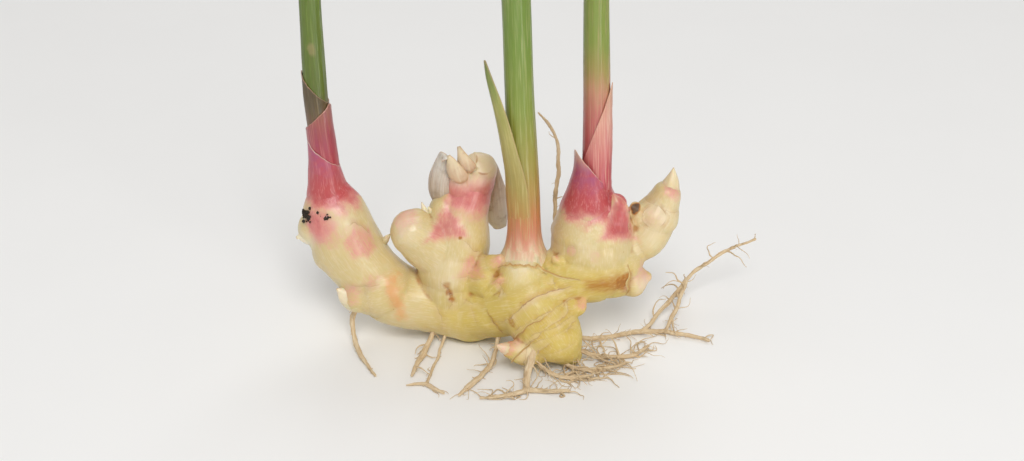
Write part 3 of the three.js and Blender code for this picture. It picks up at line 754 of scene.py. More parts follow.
def tidy(obj, merge=0.002):
    """Merges doubled points, turns the faces outwards and shades them smooth."""
    only(obj)
    bpy.ops.object.mode_set(mode="EDIT")
    bpy.ops.mesh.select_all(action="SELECT")
    bpy.ops.mesh.remove_doubles(threshold=merge * MM)
    bpy.ops.mesh.normals_make_consistent(inside=False)
    bpy.ops.object.mode_set(mode="OBJECT")
    bpy.ops.object.shade_smooth()


def spindle(name, stations, sides=48, rows=56, cap=0.14):
    """A ball drawn out along a line, with a round end at each side."""
    line, _ = smooth_line(stations, 0.5)
    along, beside, above = square_on(line[:, :3])
    bpy.ops.mesh.primitive_uv_sphere_add(segments=sides, ring_count=rows, radius=1)
    ball = started(name)
    unit_ball = coordinates(ball) * MM
    depth = np.arccos(np.clip(unit_ball[:, 2], -1, 1)) / math.pi
    turn = np.arctan2(unit_ball[:, 1], unit_ball[:, 0])
    index = np.clip((depth - cap) / (1 - 2 * cap), 0, 1) * (len(line) - 1)
    low = np.floor(index).astype(int).clip(0, len(line) - 2)
    share = (index - low)[:, None]

    def between(values):
        return values[low] * (1 - share) + values[low + 1] * share

    middle = between(line)
    closing = np.clip(np.minimum(depth, 1 - depth) / cap, 0, 1) * math.pi / 2
    ring = middle[:, 3] * np.sin(closing)
    overhang = middle[:, 3] * np.cos(closing) * np.where(depth < 0.5, -1, 1)
    points = middle[:, :3] + between(along) * overhang[:, None]
    points += between(beside) * (ring * np.cos(turn))[:, None]
    points += between(above) * (ring * np.sin(turn))[:, None]
    place(ball, points)
    return ball


def fused(name, lines, grid, passes):
    """Spindles along the lines, joined into one closed skin and smoothed."""
    body = joined(name, [spindle(f"{name}_limb", line) for line in lines])
    apply(body, "REMESH", mode="VOXEL", voxel_size=grid)
    apply(body, "SMOOTH", factor=0.5, iterations=passes)
    return body


class Lines:
    """Middle lines of the limbs of one piece, to find a skin point's place along its limb."""

    def __init__(self, lines):
        parts = [smooth_line(stations, 0.5) for stations in lines]
        self.middle = np.vstack([line[:, :3] for line, _ in parts])
        self.radius = np.concatenate([line[:, 3] for line, _ in parts])
        self.travel = np.concatenate([at for _, at in parts])
        self.limb = np.concatenate([np.full(len(at), i) for i, (_, at) in enumerate(parts)])
        frames = [square_on(line[:, :3]) for line, _ in parts]
        self.along, self.beside, self.above = (np.vstack(part) for part in zip(*frames))

    def read(self, points):
        """For each point: its limb, the distance along it, the way out from its middle line, its
        place across and along, and the limb's radius there."""
        nearest = np.empty(len(points), int)
        for start in range(0, len(points), 4000):
            block = points[start:start + 4000]
            gap = np.linalg.norm(block[:, None] - self.middle[None], axis=2) - self.radius
            nearest[start:start + 4000] = gap.argmin(1)
        reach = points - self.middle[nearest]
        forward = (reach * self.along[nearest]).sum(1)
        travel = self.travel[nearest] + forward
        across = (reach * self.beside[nearest]).sum(1)
        upward = (reach * self.above[nearest]).sum(1)
        place_along = np.column_stack([across, upward, travel])
        return self.limb[nearest], travel, reach, place_along, self.radius[nearest]


def keep_grain(obj, place_along, stretch=0.1):
    """Keeps coordinates in metres that run with the fibres, squeezed along them."""
    store(obj, "grain", place_along * MM * np.array([1, 1, stretch]))


def stalk(name, stations, sides, rows, highest=0.0, slant=0.0, point=0.0, capped=True):
    """A post fitted to a nearly upright line. With a slant its rim rises to a point on one side."""
    line, _ = smooth_line(stations, 0.5)
    bpy.ops.mesh.primitive_cylinder_add(
        vertices=sides, radius=1, depth=1, end_fill_type="NGON" if capped else "NOTHING",
    )
    post = started(name)
    cut_along(post, rows)
    unit_post = coordinates(post) * MM
    u = unit_post[:, 2] + 0.5
    turn = np.arctan2(unit_post[:, 1], unit_post[:, 0])
    distance = np.hypot(unit_post[:, 0], unit_post[:, 1])
    share = np.linspace(0, 1, len(line))
    middle = np.column_stack([np.interp(u, share, column) for column in line.T])
    away = np.angle(np.exp(1j * (turn - math.radians(highest))))
    lift = distance * (slant / 2 * np.cos(away) + point * np.exp(-((away / 0.45) ** 2))) * u**2
    points = middle[:, :3].copy()
    points[:, 0] += middle[:, 3] * distance * np.cos(turn)
    points[:, 1] += middle[:, 3] * distance * np.sin(turn)
    points[:, 2] += lift
    place(post, points)
    return post, u, turn, middle


def cut_along(post, rows):
    """Cuts the upright edges of a new post into rows."""
    only(post)
    bpy.ops.object.mode_set(mode="EDIT")
    bpy.context.tool_settings.mesh_select_mode = (False, True, False)
    bpy.ops.mesh.select_all(action="DESELECT")
    bpy.ops.object.mode_set(mode="OBJECT")
    for edge in post.data.edges:
        a, b = (post.data.vertices[i].co for i in edge.vertices)
        edge.select = abs(a.z - b.z) > 0.5
    bpy.ops.object.mode_set(mode="EDIT")
    bpy.ops.mesh.subdivide(number_cuts=rows - 1)
    bpy.ops.object.mode_set(mode="OBJECT")
    bpy.context.tool_settings.mesh_select_mode = (True, False, False)


def keep_blush(obj, low, high, violet=None, blush=0.0, strength=1.0, pale=0.0):
    """Marks a piece that is finished like the skin: cream below low, crimson above high, in mm."""
    points = coordinates(obj)
    feather = 1.6 * rough(points, 4.6, 5) + 1.4 * rough(points * np.array([1, 1, 0.2]), 2.0, 41)
    z = points[:, 2]
    store(obj, "flush", strength * smoothstep(low, high, z + feather))
    for name, value in (("blush", blush), ("pale", pale), ("ripe_and_shade", 0.3)):
        store(obj, name, np.zeros(len(points)) + value)
    if violet:
        store(obj, "violet", smoothstep(*violet, z + feather))


def finish_piece(piece, material, node):
    """Gives a piece its finish and its place in the frame."""
    piece.data.materials.clear()
    piece.data.materials.append(bpy.data.materials[material])
    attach(piece, BODY)
    if node:
        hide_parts(node)


# ---------------------------------------------------------------- materials

# A map range that eases in and out at both ends.
SMOOTH = {"interpolation_type": "SMOOTHSTEP"}


def add(tree, kind, *values, out=0, ramp=(), **settings):
    """Adds a shader node and hands over one of its outputs. Settings are the node's own. Values go
    on its inputs in order, or by name or number from a dictionary, as plain values or links."""
    node = tree.nodes.new(f"ShaderNode{kind}")
    for key, value in settings.items():
        setattr(node, key, value)
    inputs = values[0] if values and isinstance(values[0], dict) else dict(enumerate(values))
    for key, value in inputs.items():
        socket = node.inputs[key]
        if isinstance(value, bpy.types.NodeSocket):
            tree.links.new(value, socket)
        else:
            socket.default_value = (*value, 1) if socket.type == "RGBA" else value
    for number, (position, colour) in enumerate(ramp):
        stops = node.color_ramp.elements
        if number >= len(stops):
            stops.new(1)
        stops[number].position = position
        stops[number].color = (*colour, 1)
    return node.outputs[out]


def new_tree(name):
    """A new material's empty node tree."""
    material = bpy.data.materials.new(name)
    material.use_nodes = True
    material.node_tree.nodes.clear()
    return material.node_tree


def finish_material(tree, inputs):
    """Ends a material with its shader. What is the same all over its surface is a plain value."""
    surface = add(tree, "BsdfPrincipled", inputs)
    end = tree.nodes.new("ShaderNodeOutputMaterial")
    tree.links.new(surface, end.inputs["Surface"])


def per_mm(millimetres):
    """Texture scale for a pattern of this size."""
    return 1 / (millimetres * MM)


def laid_over(tree, colour, layers):
    """Lays tints over a colour, one after another. Each has the share that it covers, or what gives
    that share: a value, the range it runs through, and the shares at both ends of the range."""
    for share, tone in layers:
        if isinstance(share, tuple):
            share = add(tree, "MapRange", *share, **SMOOTH)
        colour = add(tree, "Mix", {0: share, 6: colour, 7: tone}, out=2, data_type="RGBA")
    return colour


def make_skin_material(colours):
    """Young ginger skin, moist: thin, soft and slightly see-through, so light glows under its
    cream and pink, with a gloss that dries away where it is riper or scarred. Painted shade
    browns its creases and deepens its ochre below the right lobe."""
    tree = new_tree("young_ginger_skin")
    here = add(tree, "TexCoord", out="Object")
    grain = add(tree, "Attribute", out="Vector", attribute_name="grain")
    across = add(tree, "Mapping", {"Vector": here, "Scale": (0.12, 1, 1)})
    patches, mottle, grit, fibres, streaks = (
        add(tree, "TexNoise", {"Vector": run, "Scale": per_mm(width), "Detail": detail})
        for run, width, detail in (
            (here, 12, 3), (here, 2.6, 4), (here, 0.5, 3), (grain, 0.5, 3), (across, 0.9, 3),
        )
    )
    specks = add(tree, "TexVoronoi", {"Vector": here, "Scale": per_mm(7)}, out="Distance")
    marks = (
        "ripe_and_shade", "blush", "flush", "violet", "pale", "scar", "crease_shade", "stain", "ring_offset",
        "ring_shows",
    )
    kept = {name: add(tree, "Attribute", out="Fac", attribute_name=name) for name in marks}

    def feathered(mask, texture, strength):
        """A mask whose edge alone is broken up by a texture."""
        rest = add(tree, "Math", 1.0, mask, operation="SUBTRACT")
        edge = add(tree, "Math", mask, rest, operation="MULTIPLY")
        tears = add(tree, "MapRange", texture, 0.3, 0.7, -strength, strength, **SMOOTH)
        return add(tree, "Math", edge, tears, mask, operation="MULTIPLY_ADD")

    def varied(value, texture, low, high, at_low, at_high):
        """A value times what a texture makes of it."""
        share = add(tree, "MapRange", texture, low, high, at_low, at_high, **SMOOTH)
        return add(tree, "Math", value, share, operation="MULTIPLY")

    unevenness = add(tree, "MapRange", patches, 0.3, 0.7, -0.2, 0.2, **SMOOTH)
    ripe_and_shade = add(tree, "Math", kept["ripe_and_shade"], unevenness, operation="ADD")
    pink = varied(feathered(kept["blush"], mottle, 0.6), fibres, 0.35, 0.65, 1.12, 0.72)
    pink = varied(pink, grit, 0.35, 0.65, 1.1, 0.8)
    clouds = add(tree, "Math", mottle, 0.5, operation="MULTIPLY")
    torn = add(tree, "Math", fibres, 0.5, clouds, operation="MULTIPLY_ADD")
    red = feathered(kept["flush"], torn, 0.5)
    violet = varied(kept["violet"], mottle, 0.3, 0.65, 0.3, 0.75)
    dry = varied(kept["scar"], streaks, 0.3, 0.65, 0.72, 1.08)
    offset, shows = kept["ring_offset"], kept["ring_shows"]
    gap = add(tree, "Math", offset, operation="ABSOLUTE")
    groove = varied(shows, gap, 0.02, 0.18, 0.7, 0)
    beyond = varied(varied(shows, offset, -2.6, -0.2, 0, 0.4), offset, 0, 0.2, 1, 0)
    colour = laid_over(tree, colours.cream, [
        # The ochre layer: riper skin round the mother piece, and painted shade below the right lobe.
        ((ripe_and_shade, 0, 1, 0, 1), colours.ochre),
        ((mottle, 0.45, 0.8, 0, 0.22), colours.ivory),
        ((fibres, 0.5, 0.75, 0, 0.26), colours.ochre),
        ((fibres, 0.5, 0.3, 0, 0.22), colours.ivory),
        ((pink, 0, 1, 0, 0.82), colours.blush),
        ((red, 0, 0.6, 0, 0.8), colours.blush),
        ((red, 0.3, 1, 0, 0.92), colours.crimson),
        (varied(red, fibres, 0.48, 0.7, 0, 0.46), colours.rose),
        (violet, colours.purple),
        # Pale: whiter skin, and painted light over the shade on the right branch's bud.
        (kept["pale"], colours.ivory),
        ((dry, 0, 1, 0, 0.9), colours.scar),
        ((dry, 0.95, 1.35, 0, 0.85), colours.dead),
        # Painted shade: scar brown laid in the creases and hollows, and along the cap's folds.
        ((feathered(kept["crease_shade"], mottle, 0.8), 0.1, 1, 0, 0.75), colours.scar),
        ((feathered(kept["stain"], mottle, 0.7), 0, 1, 0, 0.75), colours.amber),
        (varied(shows, gap, 0.1, 2.6, 0.36, 0), colours.scar),
        (beyond, colours.ivory),
        (groove, colours.crack),
        ((specks, 0.02, 0.05, 0.45, 0), colours.scar),
    ])
    dryness = 0.0
    for value, low, high, at_low, at_high in (
        (mottle, 0.3, 0.7, 0.34, 0.46), (dry, 0.2, 0.9, 0, 0.3), (ripe_and_shade, 0.3, 1.1, 0, 0.16),
    ):
        part = add(tree, "MapRange", value, low, high, at_low, at_high, **SMOOTH)
        dryness = add(tree, "Math", dryness, part, operation="ADD")
    relief = 0.0
    for texture, share in ((fibres, 0.6), (mottle, 0.8), (grit, 0.3), (groove, -1)):
        relief = add(tree, "Math", texture, share, relief, operation="MULTIPLY_ADD")
    bump = add(tree, "Bump", {"Height": relief, "Strength": 0.42, "Distance": 0.3 * MM})
    gloss = add(tree, "MapRange", ripe_and_shade, 0.2, 1, 0.36, 0.12, **SMOOTH)
    finish_material(tree, {
        "Base Color": colour, "Roughness": dryness, "Normal": bump, "Coat Weight": gloss,
        "Coat Normal": bump, "Coat Roughness": 0.22, "IOR": 1.42, "Subsurface Weight": 0.3,
        "Subsurface Scale": 0.0022, "Subsurface Radius": (1.0, 0.55, 0.25),
    })


def make_stalk_material(name, stops, light_fibre, dark_fibre, cloud):
    """Rolled leaf sheath, as grown: smooth and satin, and ribbed by fine fibres that draw a
    highlight out round the stalk. Its colour changes with height."""
    tree = new_tree(name)
    here = add(tree, "TexCoord", out="Object")
    grain = add(tree, "Attribute", out="Vector", attribute_name="grain")
    rim = add(tree, "Attribute", out="Fac", attribute_name="rim")
    around = add(tree, "Tangent", direction_type="UV_MAP", uv_map="UVMap")
    fibres, bands, mottle = (
        add(tree, "TexNoise", {"Vector": run, "Scale": per_mm(width), "Detail": detail})
        for run, width, detail in ((grain, 0.55, 3), (grain, 2.4, 2), (here, 3, 4))
    )
    low, high = stops[0][0], stops[-1][0]
    height = add(tree, "SeparateXYZ", here, out=2)
    share = add(tree, "MapRange", height, low * MM, high * MM)
    wander = 2.4 / (high - low)
    for texture, reach in ((bands, wander), (fibres, 0.6 * wander)):
        shift = add(tree, "MapRange", texture, 0.3, 0.7, -reach, reach, **SMOOTH)
        share = add(tree, "Math", share, shift, operation="ADD")
    ramp = [((z - low) / (high - low), linear(code)) for z, code in stops]
    colour = laid_over(tree, add(tree, "ValToRGB", share, ramp=ramp), [
        ((fibres, 0.48, 0.74, 0, 0.45), linear(light_fibre)),
        ((fibres, 0.5, 0.28, 0, 0.3), linear(dark_fibre)),
        ((mottle, 0.55, 0.8, 0, cloud), linear(dark_fibre)),
        (add(tree, "Math", rim, 0.45, operation="MULTIPLY"), linear("#D9A98E")),
    ])
    finish_material(tree, {
        "Base Color": colour,
        "Roughness": add(tree, "MapRange", mottle, 0.3, 0.7, 0.28, 0.36, **SMOOTH),
        "Normal": add(tree, "Bump", {"Height": fibres, "Strength": 0.3, "Distance": 0.2 * MM}),
        "Tangent": around, "Anisotropic": 1.0, "Anisotropic Rotation": 0.25, "IOR": 1.5,
        "Specular IOR Level": 0.65, "Subsurface Weight": 0.12, "Subsurface Scale": 0.0012,
        "Subsurface Radius": (0.8, 0.6, 0.3),
    })


def make_scale_material(name, base, tip, blotch, vein, subsurface):
    """Fleshy scale leaf, as grown: thin, waxy and slightly see-through, with veins to its tip."""
    tree = new_tree(name)
    here = add(tree, "TexCoord", out="Object")
    grain = add(tree, "Attribute", out="Vector", attribute_name="grain")
    rim, reach = (add(tree, "Attribute", out="Fac", attribute_name=mark) for mark in ("rim", "reach"))
    veins = add(tree, "TexNoise", {"Vector": grain, "Scale": per_mm(0.6), "Detail": 3})
    mottle = add(tree, "TexNoise", {"Vector": here, "Scale": per_mm(2.6), "Detail": 4})
    shift = add(tree, "MapRange", veins, 0.3, 0.7, -0.12, 0.12, **SMOOTH)
    reach = add(tree, "Math", reach, shift, operation="ADD")
    colour = laid_over(tree, linear(base), [
        ((reach, 0.1, 0.9, 0, 1), linear(tip)),
        ((mottle, 0.5, 0.8, 0, 0.6), linear(blotch)),
        ((veins, 0.52, 0.75, 0, 0.25), linear(vein)),
        # The rim colour marks dry free margins; on the teeth's lower rims it is also painted shade under
        # the curl.
        (add(tree, "Math", rim, 0.5, operation="MULTIPLY"), linear("#C48A54")),
    ])
    finish_material(tree, {
        "Base Color": colour,
        "Roughness": add(tree, "MapRange", mottle, 0.3, 0.7, 0.32, 0.45, **SMOOTH),
        "Normal": add(tree, "Bump", {"Height": veins, "Strength": 0.3, "Distance": 0.2 * MM}),
        "IOR": 1.42, "Subsurface Weight": subsurface, "Subsurface Scale": 0.0018,
        "Subsurface Radius": (1.0, 0.7, 0.45), "Coat Weight": 0.2, "Coat Roughness": 0.3,
    })


def make_root_material(colours):
    """Fibrous root, air dried: matt and finely wrinkled, tan with paler cork and brown stains."""
    tree = new_tree("fibrous_root")
    here = add(tree, "TexCoord", out="Object")
    grain = add(tree, "Attribute", out="Vector", attribute_name="grain")
    fibres = add(tree, "TexNoise", {"Vector": grain, "Scale": per_mm(0.5), "Detail": 4})
    stains = add(tree, "TexNoise", {"Vector": here, "Scale": per_mm(4), "Detail": 4})
    colour = laid_over(tree, colours.root, [
        ((fibres, 0.35, 0.7, 0, 1), linear("#DCC9A8")),
        ((stains, 0.52, 0.75, 0, 0.5), linear("#8E7150")),
    ])
    finish_material(tree, {
        "Base Color": colour,
        "Roughness": add(tree, "MapRange", stains, 0.3, 0.7, 0.6, 0.8, **SMOOTH),
        "Normal": add(tree, "Bump", {"Height": fibres, "Strength": 0.6, "Distance": 0.2 * MM}),
        "IOR": 1.4, "Specular IOR Level": 0.3,
    })


def make_soil_material(colours):
    """Potting soil, damp: near black and crumbly, with a few paler grains."""
    tree = new_tree("damp_soil")
    here = add(tree, "TexCoord", out="Object")
    crumbs = add(tree, "TexNoise", {"Vector": here, "Scale": per_mm(0.5), "Detail": 5})
    colour = laid_over(tree, colours.soil, [((crumbs, 0.5, 0.75, 0, 1), linear("#5E4E3C"))])
    finish_material(tree, {
        "Base Color": colour,
        "Roughness": add(tree, "MapRange", crumbs, 0.3, 0.7, 0.55, 0.95, **SMOOTH),
        "Normal": add(tree, "Bump", {"Height": crumbs, "Strength": 0.8, "Distance": 0.3 * MM}),
        "IOR": 1.4,
    })


def make_floor_material(stage):
    """Painted board, matt: plain and pale, with the faintest unevenness."""
    tree = new_tree("matt_board")
    here = add(tree, "TexCoord", out="Object")
    clouds = add(tree, "TexNoise", {"Vector": here, "Scale": per_mm(60), "Detail": 2})
    colour = laid_over(tree, stage.floor, [((clouds, 0.3, 0.7, 0, 0.05), linear("#E3E2DF"))])
    finish_material(tree, {"Base Color": colour, "Roughness": 0.7, "Specular IOR Level": 0.2})


def make_materials(context):
    """Every finish but the floor's."""
    colours = context.scene.ginger_colours
    make_skin_material(colours)
    make_root_material(colours)
    make_soil_material(colours)
    for name, look in STALK_LOOKS.items():
        make_stalk_material(name, *look)
    for name, look in SCALE_LOOKS.items():
        make_scale_material(name, *look)


# ---------------------------------------------------------------- the rhizome


def ring_relief(limb, travel, reach, points):
    """How far each skin point is from the ring or crack nearest to it, how plainly that one
    shows, how high it stands, and how far the skin swells between rings."""
    ragged = 0.7 * rough(points, 4.5, 3) + 0.4 * rough(points, 1.5, 9)
    ragged += 0.15 * rough(points, 0.6, 13)
    offset = np.full(len(points), 9.0)
    shows = np.zeros(len(points))
    swell = np.zeros(len(points))
    for index, finger in enumerate(FINGERS.values()):
        here = limb == index
        rings = [(-20, 0, 0), *finger["rings"], (999, 0, 0)]
        distances = np.array([
            travel[here] - at - lean * reach[here, 2] + ragged[here] for at, _, lean in rings
        ])
        nearest = np.abs(distances).argmin(0)
        columns = np.arange(here.sum())
        offset[here] = distances[nearest, columns]
        shows[here] = np.array([s for _, s, _ in rings])[nearest]
        room = np.clip(np.abs(distances).min(0) / 6.0, 0, 1)
        swell[here] = np.sin(room * math.pi / 2)
    fade = smoothstep(4.0, 1.6, np.abs(offset))
    broken = smoothstep(-0.35, 0.15, rough(points, 5.5, 21))
    shows = shows * fade * (0.15 + 0.85 * broken)
    stands = shows.copy()
    for stations, strong in CRACKS:
        line, _ = smooth_line([(*station, 1) for station in stations], 0.4)
        near = np.flatnonzero(np.linalg.norm(points - line[:, :3].mean(0), axis=1) < 24)
        skin = points[near]
        laid = np.array([skin[np.linalg.norm(skin - spot, axis=1).argmin()] for spot in line[:, :3]])
        for _ in range(4):
            laid[1:-1] = (laid[:-2] + laid[1:-1] * 2 + laid[2:]) / 4
        gap = skin[:, None] - laid[None]
        distance = np.linalg.norm(gap, axis=2)
        nearest = distance.argmin(1)
        apart = distance[np.arange(len(near)), nearest]
        above = np.sign(gap[np.arange(len(near)), nearest, 2])
        ends = np.minimum(nearest, len(line) - 1 - nearest) * 0.4
        signed = np.maximum(apart - 0.15, 0) * above + 0.55 * ragged[near]
        closer = (np.abs(signed) < np.abs(offset[near])) & (apart < 4) & ((ends > 0) | (apart < 1.2))
        chosen = near[closer]
        offset[chosen] = signed[closer]
        tapered = smoothstep(0, 3, ends[closer]) * (0.45 + 0.55 * broken[chosen])
        shows[chosen] = strong * tapered * smoothstep(4.0, 1.8, apart[closer])
        stands[chosen] = 0.25 * shows[chosen]
    return np.clip(offset, -4, 4), shows, stands, swell


def mark(points, marks, warp, soft=0.55):
    """How strongly each point carries marks: 1 in the middle, 0 past the edge."""
    strength = np.zeros(len(points))
    for x, y, z, radius, strong in marks:
        gap = gap_to(points, x, y, z) / radius + warp
        strength = np.maximum(strength, strong * smoothstep(1.15, 1.15 - soft * 1.3, gap))
    return strength


def panel(points, corners, ragged, soft):
    """How strongly each point lies inside a flat panel held against the skin."""
    corners = np.array(corners, float) - DATUM
    middle = corners.mean(0)
    facing = unit(np.cross(corners[1] - corners[0], corners[2] - corners[0]))
    inside = np.full(len(points), 99.0)
    for a, b in zip(corners, np.roll(corners, -1, 0)):
        inwards = unit(np.cross(facing, b - a))
        inwards = inwards * np.sign((middle - a) @ inwards)
        inside = np.minimum(inside, (points - a) @ inwards)
    depth = np.abs((points - middle) @ facing)
    return smoothstep(-soft, soft, inside + ragged) * smoothstep(9, 6, depth)


def panels(points, kind):
    """How strongly each point carries the panels of one kind of mark."""
    ragged = 0.5 * rough(points, 2.4, 71) + 0.35 * rough(points, 0.9, 73)
    strength = np.zeros(len(points))
    for mark_kind, strong, soft, corners in PANELS:
        if mark_kind == kind:
            strength = np.maximum(strength, strong * panel(points, corners, ragged, soft))
    return strength


def hollows(obj, points, rounds=6):
    """How far each point lies below the mesh smoothed over, in mm."""
    edges = np.empty(len(obj.data.edges) * 2, int)
    obj.data.edges.foreach_get("vertices", edges)
    a, b = edges.reshape(-1, 2).T
    degree = np.maximum(np.bincount(np.r_[a, b], minlength=len(points)), 1)

    def average(values):
        total = np.zeros_like(values)
        np.add.at(total, a, values[b])
        np.add.at(total, b, values[a])
        return total / (degree[:, None] if values.ndim > 1 else degree)

    smooth = points
    for _ in range(rounds):
        smooth = average(smooth)
    depth = ((smooth - points) * normals(obj)).sum(1)
    for _ in range(3):
        depth = average(depth)
    return depth


def build_rhizome(context):
    """The whole rhizome: fingers fused into one skin, then swellings, rings, buds and marks."""
    sizes = context.scene.ginger_sizes
    lines = [finger["stations"] for finger in FINGERS.values()]
    skin = fused("rhizome_skin", lines, sizes.skin_grid, 7)
    points = coordinates(skin)
    limb, travel, reach, grain, thick = Lines(lines).read(points)
    # Painted shade: the deeper a point lies in a crease or hollow, the more brown it is given.
    crease_shade = smoothstep(0.03, 0.26, hollows(skin, points))
    broad, middling, fine = rough(points, 12), rough(points, 4.6, 5), rough(points, 1.4, 11)
    offset, shows, stands, swell = ring_relief(limb, travel, reach, points)
    warp = 0.3 * middling + 0.06 * fine
    ring = 0.6 * np.exp(-((offset / 0.5) ** 2)) - 0.5 * np.exp(-(((offset - 0.8) / 0.5) ** 2))
    wrinkle = rough(grain * np.array([1, 1, 0.12]), 1.2, 17)
    ridged = 0.5 - np.abs(rough(points, 8.5, 31)) * 2
    sturdy = smoothstep(1.5, 9, thick)
    names = list(FINGERS)
    plain = np.isin(limb, [names.index(name) for name in ("foot", "neck", "trunk")])
    out = (swell - 0.65) * sizes.swell * np.where(plain, 0.3, 1.0) * sturdy
    out = out + (broad + 0.25 * ridged + 0.15 * middling) * sizes.lumps * sturdy
    out = out + ring * stands * sizes.ring_height + (wrinkle + 0.6 * fine) * sizes.wrinkles
    step = smoothstep(-0.3, 0.3, -offset) * smoothstep(-3.8, -0.4, offset)
    out = out + step * (0.3 * shows + 0.7 * stands) * sizes.ring_height
    for x, y, z, radius, strong in BUD_EYES:
        gap = gap_to(points, x, y, z) / radius + warp * 0.5
        dome = smoothstep(1.0, 0.72, gap) * (1 - 0.35 * gap**2)
        groove = np.exp(-(((gap - 1.08) / 0.09) ** 2))
        out = out + strong * sizes.eye_height * (dome - 0.45 * groove)
    for x, y, z, radius, depth in PITS:
        gap = gap_to(points, x, y, z) / radius + warp
        lip = 0.25 * np.exp(-(((gap - 1.15) / 0.2) ** 2))
        out = out + (lip - depth * smoothstep(1.0, 0.35, gap)) * MM
    foot = smoothstep(0.2, 2.5, points[:, 2])
    place(skin, points + normals(skin) * (out * foot / MM)[:, None])

    for x, y, z, radius, strong in OUTLINES:
        gap = gap_to(points, x, y, z) - radius + 0.5 * middling
        nearer = np.abs(gap) < np.minimum(np.abs(offset), 1.5)
        offset = np.where(nearer, gap, offset)
        shows = np.where(nearer, strong * smoothstep(-0.6, 0.3, broad + middling), shows)
    z = points[:, 2]
    mother = gap_to(points, 8, 4, 20)
    ripe_and_shade = 0.85 * smoothstep(50, 12, mother) + 0.3 * smoothstep(40, 8, z)
    # Painted shade: the ochre deepens below the right lobe, where its shade falls.
    ripe_and_shade += 0.55 * smoothstep(8, 20, points[:, 0]) * smoothstep(44, 32, z)
    ripe_and_shade -= 0.5 * smoothstep(36, 46, z) * smoothstep(18, 9, np.hypot(points[:, 0] + 4, points[:, 1] + 4))
    on = {name: limb == i for i, name in enumerate(names)}
    feather = 2.0 * middling + 0.6 * fine + 1.3 * rough(grain * np.array([1, 1, 0.12]), 2.2, 41)
    soft_feather = 1.1 * middling + 0.3 * fine
    flush = np.maximum(mark(points, FLUSHES, warp, 0.8), panels(points, "flush"))
    flush = np.maximum(flush, on["left_finger"] * smoothstep(53.0, 63, z + feather))
    axis = np.array([-17.0, 30.5, 0]) - DATUM
    beside_axis = np.hypot(points[:, 0] - axis[0] - 0.2 * (z - 57), points[:, 1] - axis[1])
    shoot = smoothstep(11.5, 8.6, beside_axis + 0.5 * soft_feather) * smoothstep(49.5, 59, z + soft_feather)
    flush = np.maximum(flush, 0.62 * shoot)
    lobe = on["right_lobe"] | on["lobe_shoulder"]
    flush = np.maximum(flush, lobe * smoothstep(53.5, 62.5, z + feather))
    blush = np.maximum(mark(points, BLUSHES, warp, 0.75), 0.75 * mark(points, PATCHES, 0.9 * warp, 0.4))
    blush = np.maximum(blush, panels(points, "blush"))
    blush = np.maximum(blush, 0.3 * on["right_branch"] * smoothstep(33, 38, travel))
    blush = np.maximum(blush, 0.6 * smoothstep(14, 9, beside_axis) * smoothstep(46, 53, z + soft_feather))
    scar = np.maximum(mark(points, BRUISES, 2 * warp), panels(points, "scar"))
    store(skin, "ripe_and_shade", ripe_and_shade)
    store(skin, "pale", mark(points, PALES, warp, 0.9))
    store(skin, "flush", flush)
    store(skin, "blush", blush)
    store(skin, "scar", scar)
    store(skin, "crease_shade", crease_shade * (1 - flush))
    store(skin, "stain", panels(points, "stain"))
    store(skin, "ring_offset", offset)
    store(skin, "ring_shows", shows)
    keep_grain(skin, grain)
    bpy.ops.object.shade_smooth()
    finish_piece(skin, "young_ginger_skin", "rhizome")


def skin_surface():
    """The rhizome's finished skin, for finding places on it."""
    skin = bpy.data.objects["rhizome_skin"].data
    corners = [vertex.co.copy() for vertex in skin.vertices]
    return BVHTree.FromPolygons(corners, [tuple(face.vertices) for face in skin.polygons])


def build_skin_flakes(context):
    """Thin strips that cling to the rings, with a ragged free edge."""
    sizes = context.scene.ginger_sizes
    tree = skin_surface()
    flakes = []
    for number, (finger, at, start, end, width, drop) in enumerate(SKIN_FLAKES):
        line, travel = smooth_line(FINGERS[finger]["stations"], 0.5)
        along = square_on(line[:, :3])[0]
        columns = max(10, int(abs(end - start) / 2.2))
        bpy.ops.mesh.primitive_grid_add(x_subdivisions=columns, y_subdivisions=6, size=1)
        flake = started("skin_flakes")
        flat = coordinates(flake) * MM + np.array([0.5, 0.5, 0])
        points, reach = [], []
        front = np.array([0.0, -1.0, 0.0])
        for u, v, _ in flat:
            turn = math.radians(start + (end - start) * u)
            edge = math.sin(math.pi * min(max(u, 0.02), 0.98)) ** 0.5
            tear = 0.65 + 0.45 * noise.noise(Vector((u * 9 + number, number * 3.1, 0)))
            tear += 0.2 * noise.noise(Vector((u * 31, number * 5.7, 2)))
            wander = 0.9 * noise.noise(Vector((u * 4, number * 2.3, 5)))
            distance = at - drop * (1 - math.cos(turn)) + wander + (v - 0.15) * width * tear * edge
            i = int(np.clip(np.searchsorted(travel, distance), 1, len(line) - 1))
            first = unit(front - along[i] * (front @ along[i]))
            second = np.cross(along[i], first)
            outwards = first * math.cos(turn) + second * math.sin(turn)
            origin = Vector((line[i, :3] + along[i] * (distance - travel[i])) * MM)
            hit, normal, _, _ = tree.ray_cast(origin, Vector(outwards), 0.03)
            if hit is None:
                hit, normal = origin + Vector(outwards) * line[i, 3] * MM, Vector(outwards)
            lift = 0.04 * MM + sizes.flake_lift * v**2 * (0.35 + 0.65 * abs(tear)) * edge
            points.append((hit + normal * lift) / MM)
            reach.append(v)
        place(flake, points)
        store(flake, "reach", reach)
        store(flake, "rim", np.array(reach) ** 4)
        store(flake, "grain", flat * MM * np.array([columns * 0.4, 1, 1]))
        apply(flake, "SOLIDIFY", thickness=0.09 * MM, offset=1)
        flakes.append(flake)
    strips = joined("skin_flakes", flakes)
    tidy(strips)
    finish_piece(strips, "papery_skin_flake", None)


# ---------------------------------------------------------------- stems and sheaths


